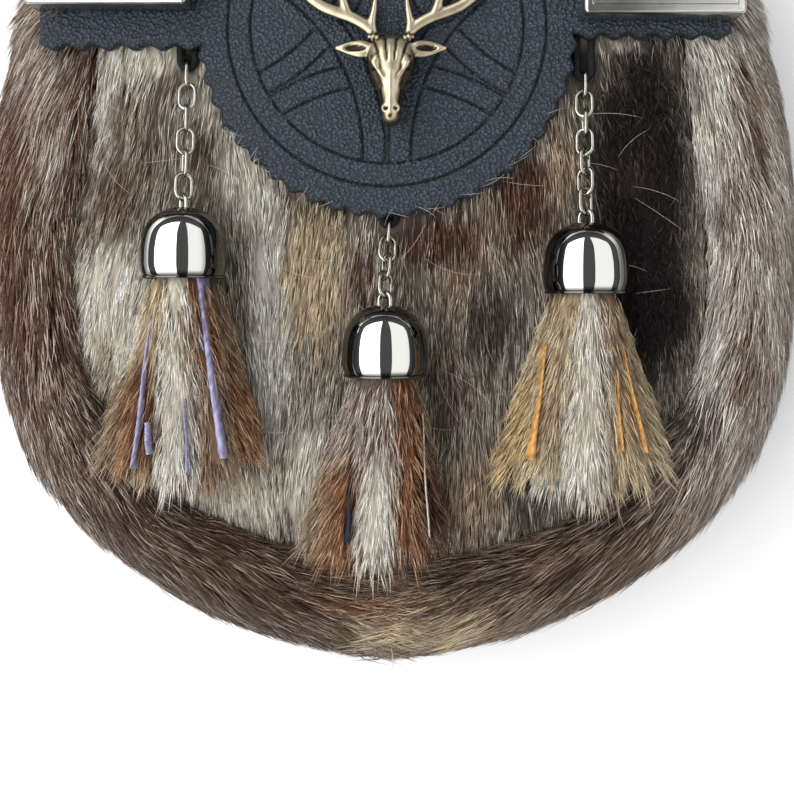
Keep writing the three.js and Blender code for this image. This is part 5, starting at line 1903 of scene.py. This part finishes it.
class SPORRAN_OT_stage(bpy.types.Operator):
    """Add the white surface, the two light panels and the camera."""

    bl_idname = "sporran.stage"
    bl_label = "Stage"

    def execute(self, context):
        settings = context.scene.sporran_stage
        mesh = bpy.data.meshes.new("floor")
        corners = [(FLOOR_HALF * x, FLOOR_HALF * y, 0) for x, y in ((-1, -1), (1, -1), (1, 1), (-1, 1))]
        mesh.from_pydata(corners, [], [(0, 1, 2, 3)])
        material, tree, shader = material_of("floor")
        feed(tree, shader, {"Base Color": FLOOR_COLOUR, "Roughness": FLOOR_ROUGHNESS})
        mesh.materials.append(material)
        floor = bpy.data.objects.new("floor", mesh)
        context.scene.collection.objects.link(floor)

        size = (settings.panel_wide, settings.panel_long)
        out = (settings.slot + settings.panel_wide) / 2
        for name, x, energy in (
            ("panel_left", settings.slot_x - out, settings.key_power),
            ("panel_right", settings.slot_x + out, settings.fill_power),
        ):
            light_panel(name, (x, 0, settings.panel_height), size, energy)

        world = bpy.data.worlds.new("surroundings")
        world.use_nodes = True
        sky = world.node_tree.nodes["Background"]
        feed(world.node_tree, sky, {"Color": SKY_COLOUR, "Strength": settings.sky})
        context.scene.world = world
        context.scene.view_settings.view_transform = "Standard"

        camera = bpy.data.cameras.new("camera")
        camera.sensor_fit = "HORIZONTAL"
        camera.angle = settings.field
        camera.shift_x, camera.shift_y = settings.shift
        camera.clip_start = CLIP_START
        made = bpy.data.objects.new("camera", camera)
        made.location = settings.camera_place
        context.scene.collection.objects.link(made)
        context.scene.camera = made
        return {"FINISHED"}


class SPORRAN_OT_back(bpy.types.Operator):
    """Give the back and its belt loops their grained leather."""

    bl_idname = "sporran.back"
    bl_label = "Back and belt loops"

    def execute(self, context):
        settings = context.scene.sporran_leather
        material = leather_material(settings, "back_leather", BACK_GRAIN_DEEP, pressed_and_shaded=False)
        for name in ("back_panel", "belt_loop_left", "belt_loop_right"):
            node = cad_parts[name]
            node.data.materials.clear()
            node.data.materials.append(material)
        return {"FINISHED"}


class SPORRAN_OT_side_wall(bpy.types.Operator):
    """Add the round side wall: its hide and its long hair."""

    bl_idname = "sporran.side_wall"
    bl_label = "Side wall"

    def execute(self, context):
        settings = context.scene.sporran_fur
        ring_undercoat(fur_material("undercoat_side", HIDE_ROUGHNESS))
        hair = fur_material("hair_side", LONG_HAIR_ROUGHNESS)
        for node in RING_LENGTHS:
            ring_hair(node, hair, settings)
        return {"FINISHED"}


class SPORRAN_OT_front(bpy.types.Operator):
    """Add the front: its hide and its hair."""

    bl_idname = "sporran.front"
    bl_label = "Front"

    def execute(self, context):
        panel_undercoat(fur_material("undercoat_front", HIDE_ROUGHNESS))
        hair = fur_material("hair_front", FRONT_HAIR_ROUGHNESS)
        panel_hair(hair, context.scene.sporran_fur)
        stray_hairs(hair, context.scene.sporran_fur)
        return {"FINISHED"}


class SPORRAN_OT_flap(bpy.types.Operator):
    """Add the pinked and embossed flap."""

    bl_idname = "sporran.flap"
    bl_label = "Flap"

    def execute(self, context):
        settings = context.scene.sporran_leather
        leather_flap(leather_material(settings, "black_leather", FLAP_GRAIN_DEEP, pressed_and_shaded=True), settings)
        return {"FINISHED"}


class SPORRAN_OT_badge(bpy.types.Operator):
    """Add the cast stag's head."""

    bl_idname = "sporran.badge"
    bl_label = "Badge"

    def execute(self, context):
        stag_badge(cast_metal("antique_brass", *BRASS_SHINE), context.scene.sporran_metal)
        return {"FINISHED"}


class SPORRAN_OT_plates(bpy.types.Operator):
    """Add the two corner plates."""

    bl_idname = "sporran.plates"
    bl_label = "Corner plates"

    def execute(self, context):
        material = metal_material("plate_nickel", context.scene.sporran_metal.nickel, *PLATE_SHINE)
        for name in PLATES:
            plate(name, material)
        return {"FINISHED"}


class SPORRAN_OT_tassels(bpy.types.Operator):
    """Add the three tassels with their caps, chains and thongs."""

    bl_idname = "sporran.tassels"
    bl_label = "Tassels"

    def execute(self, context):
        metals = context.scene.sporran_metal
        leathers = context.scene.sporran_leather
        hair = fur_material("hair_tassel", LONG_HAIR_ROUGHNESS)
        undercoat = fur_material("undercoat_tassel", HIDE_ROUGHNESS)
        edge = fur_material("cut_hide", EDGE_ROUGHNESS)
        leather = leather_material(leathers, "thong_leather", THONG_GRAIN_DEEP, pressed_and_shaded=True)
        smoked = cast_metal("smoked_nickel", *CAP_SHINE)
        link = metal_material("chain_metal", metals.chain, *CHAIN_SHINE)
        for name, seed in TASSEL_SEEDS.items():
            tassel_fur(name, hair, undercoat, context.scene.sporran_fur, seed)
            tassel_edges(name, edge)
            cap(name, smoked, metals)
            chain(name, link)
            thong(name, leather)
        return {"FINISHED"}


class SPORRAN_PT_panel(bpy.types.Panel):
    """The sporran's settings and the buttons that make its pieces."""

    bl_label = "Sporran"
    bl_idname = "SPORRAN_PT_panel"
    bl_space_type = "VIEW_3D"
    bl_region_type = "UI"
    bl_category = "Sporran"

    def draw(self, context):
        for group in ("sporran_fur", "sporran_leather", "sporran_metal", "sporran_stage"):
            settings = getattr(context.scene, group)
            box = self.layout.box()
            for name in settings.__annotations__:
                box.prop(settings, name)
        for operator in OPERATORS:
            self.layout.operator(operator.bl_idname)


GROUPS = {
    "sporran_fur": FurSettings,
    "sporran_leather": LeatherSettings,
    "sporran_metal": MetalSettings,
    "sporran_stage": StageSettings,
}
OPERATORS = (
    SPORRAN_OT_stage, SPORRAN_OT_back, SPORRAN_OT_side_wall, SPORRAN_OT_front,
    SPORRAN_OT_flap, SPORRAN_OT_badge, SPORRAN_OT_plates, SPORRAN_OT_tassels,
)


def register():
    """Register the settings, the operators and the panel."""
    for name, group in GROUPS.items():
        bpy.utils.register_class(group)
        setattr(bpy.types.Scene, name, bpy.props.PointerProperty(type=group))
    for one in (*OPERATORS, SPORRAN_PT_panel):
        bpy.utils.register_class(one)


def unregister():
    """Unregister everything that register added."""
    for one in (SPORRAN_PT_panel, *reversed(OPERATORS)):
        bpy.utils.unregister_class(one)
    for name, group in GROUPS.items():
        delattr(bpy.types.Scene, name)
        bpy.utils.unregister_class(group)


def main():
    """Register and make every piece in order."""
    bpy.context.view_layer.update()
    register()
    bpy.ops.sporran.stage()
    bpy.ops.sporran.back()
    bpy.ops.sporran.side_wall()
    bpy.ops.sporran.front()
    bpy.ops.sporran.flap()
    bpy.ops.sporran.badge()
    bpy.ops.sporran.plates()
    bpy.ops.sporran.tassels()


if __name__ == "__main__":
    main()
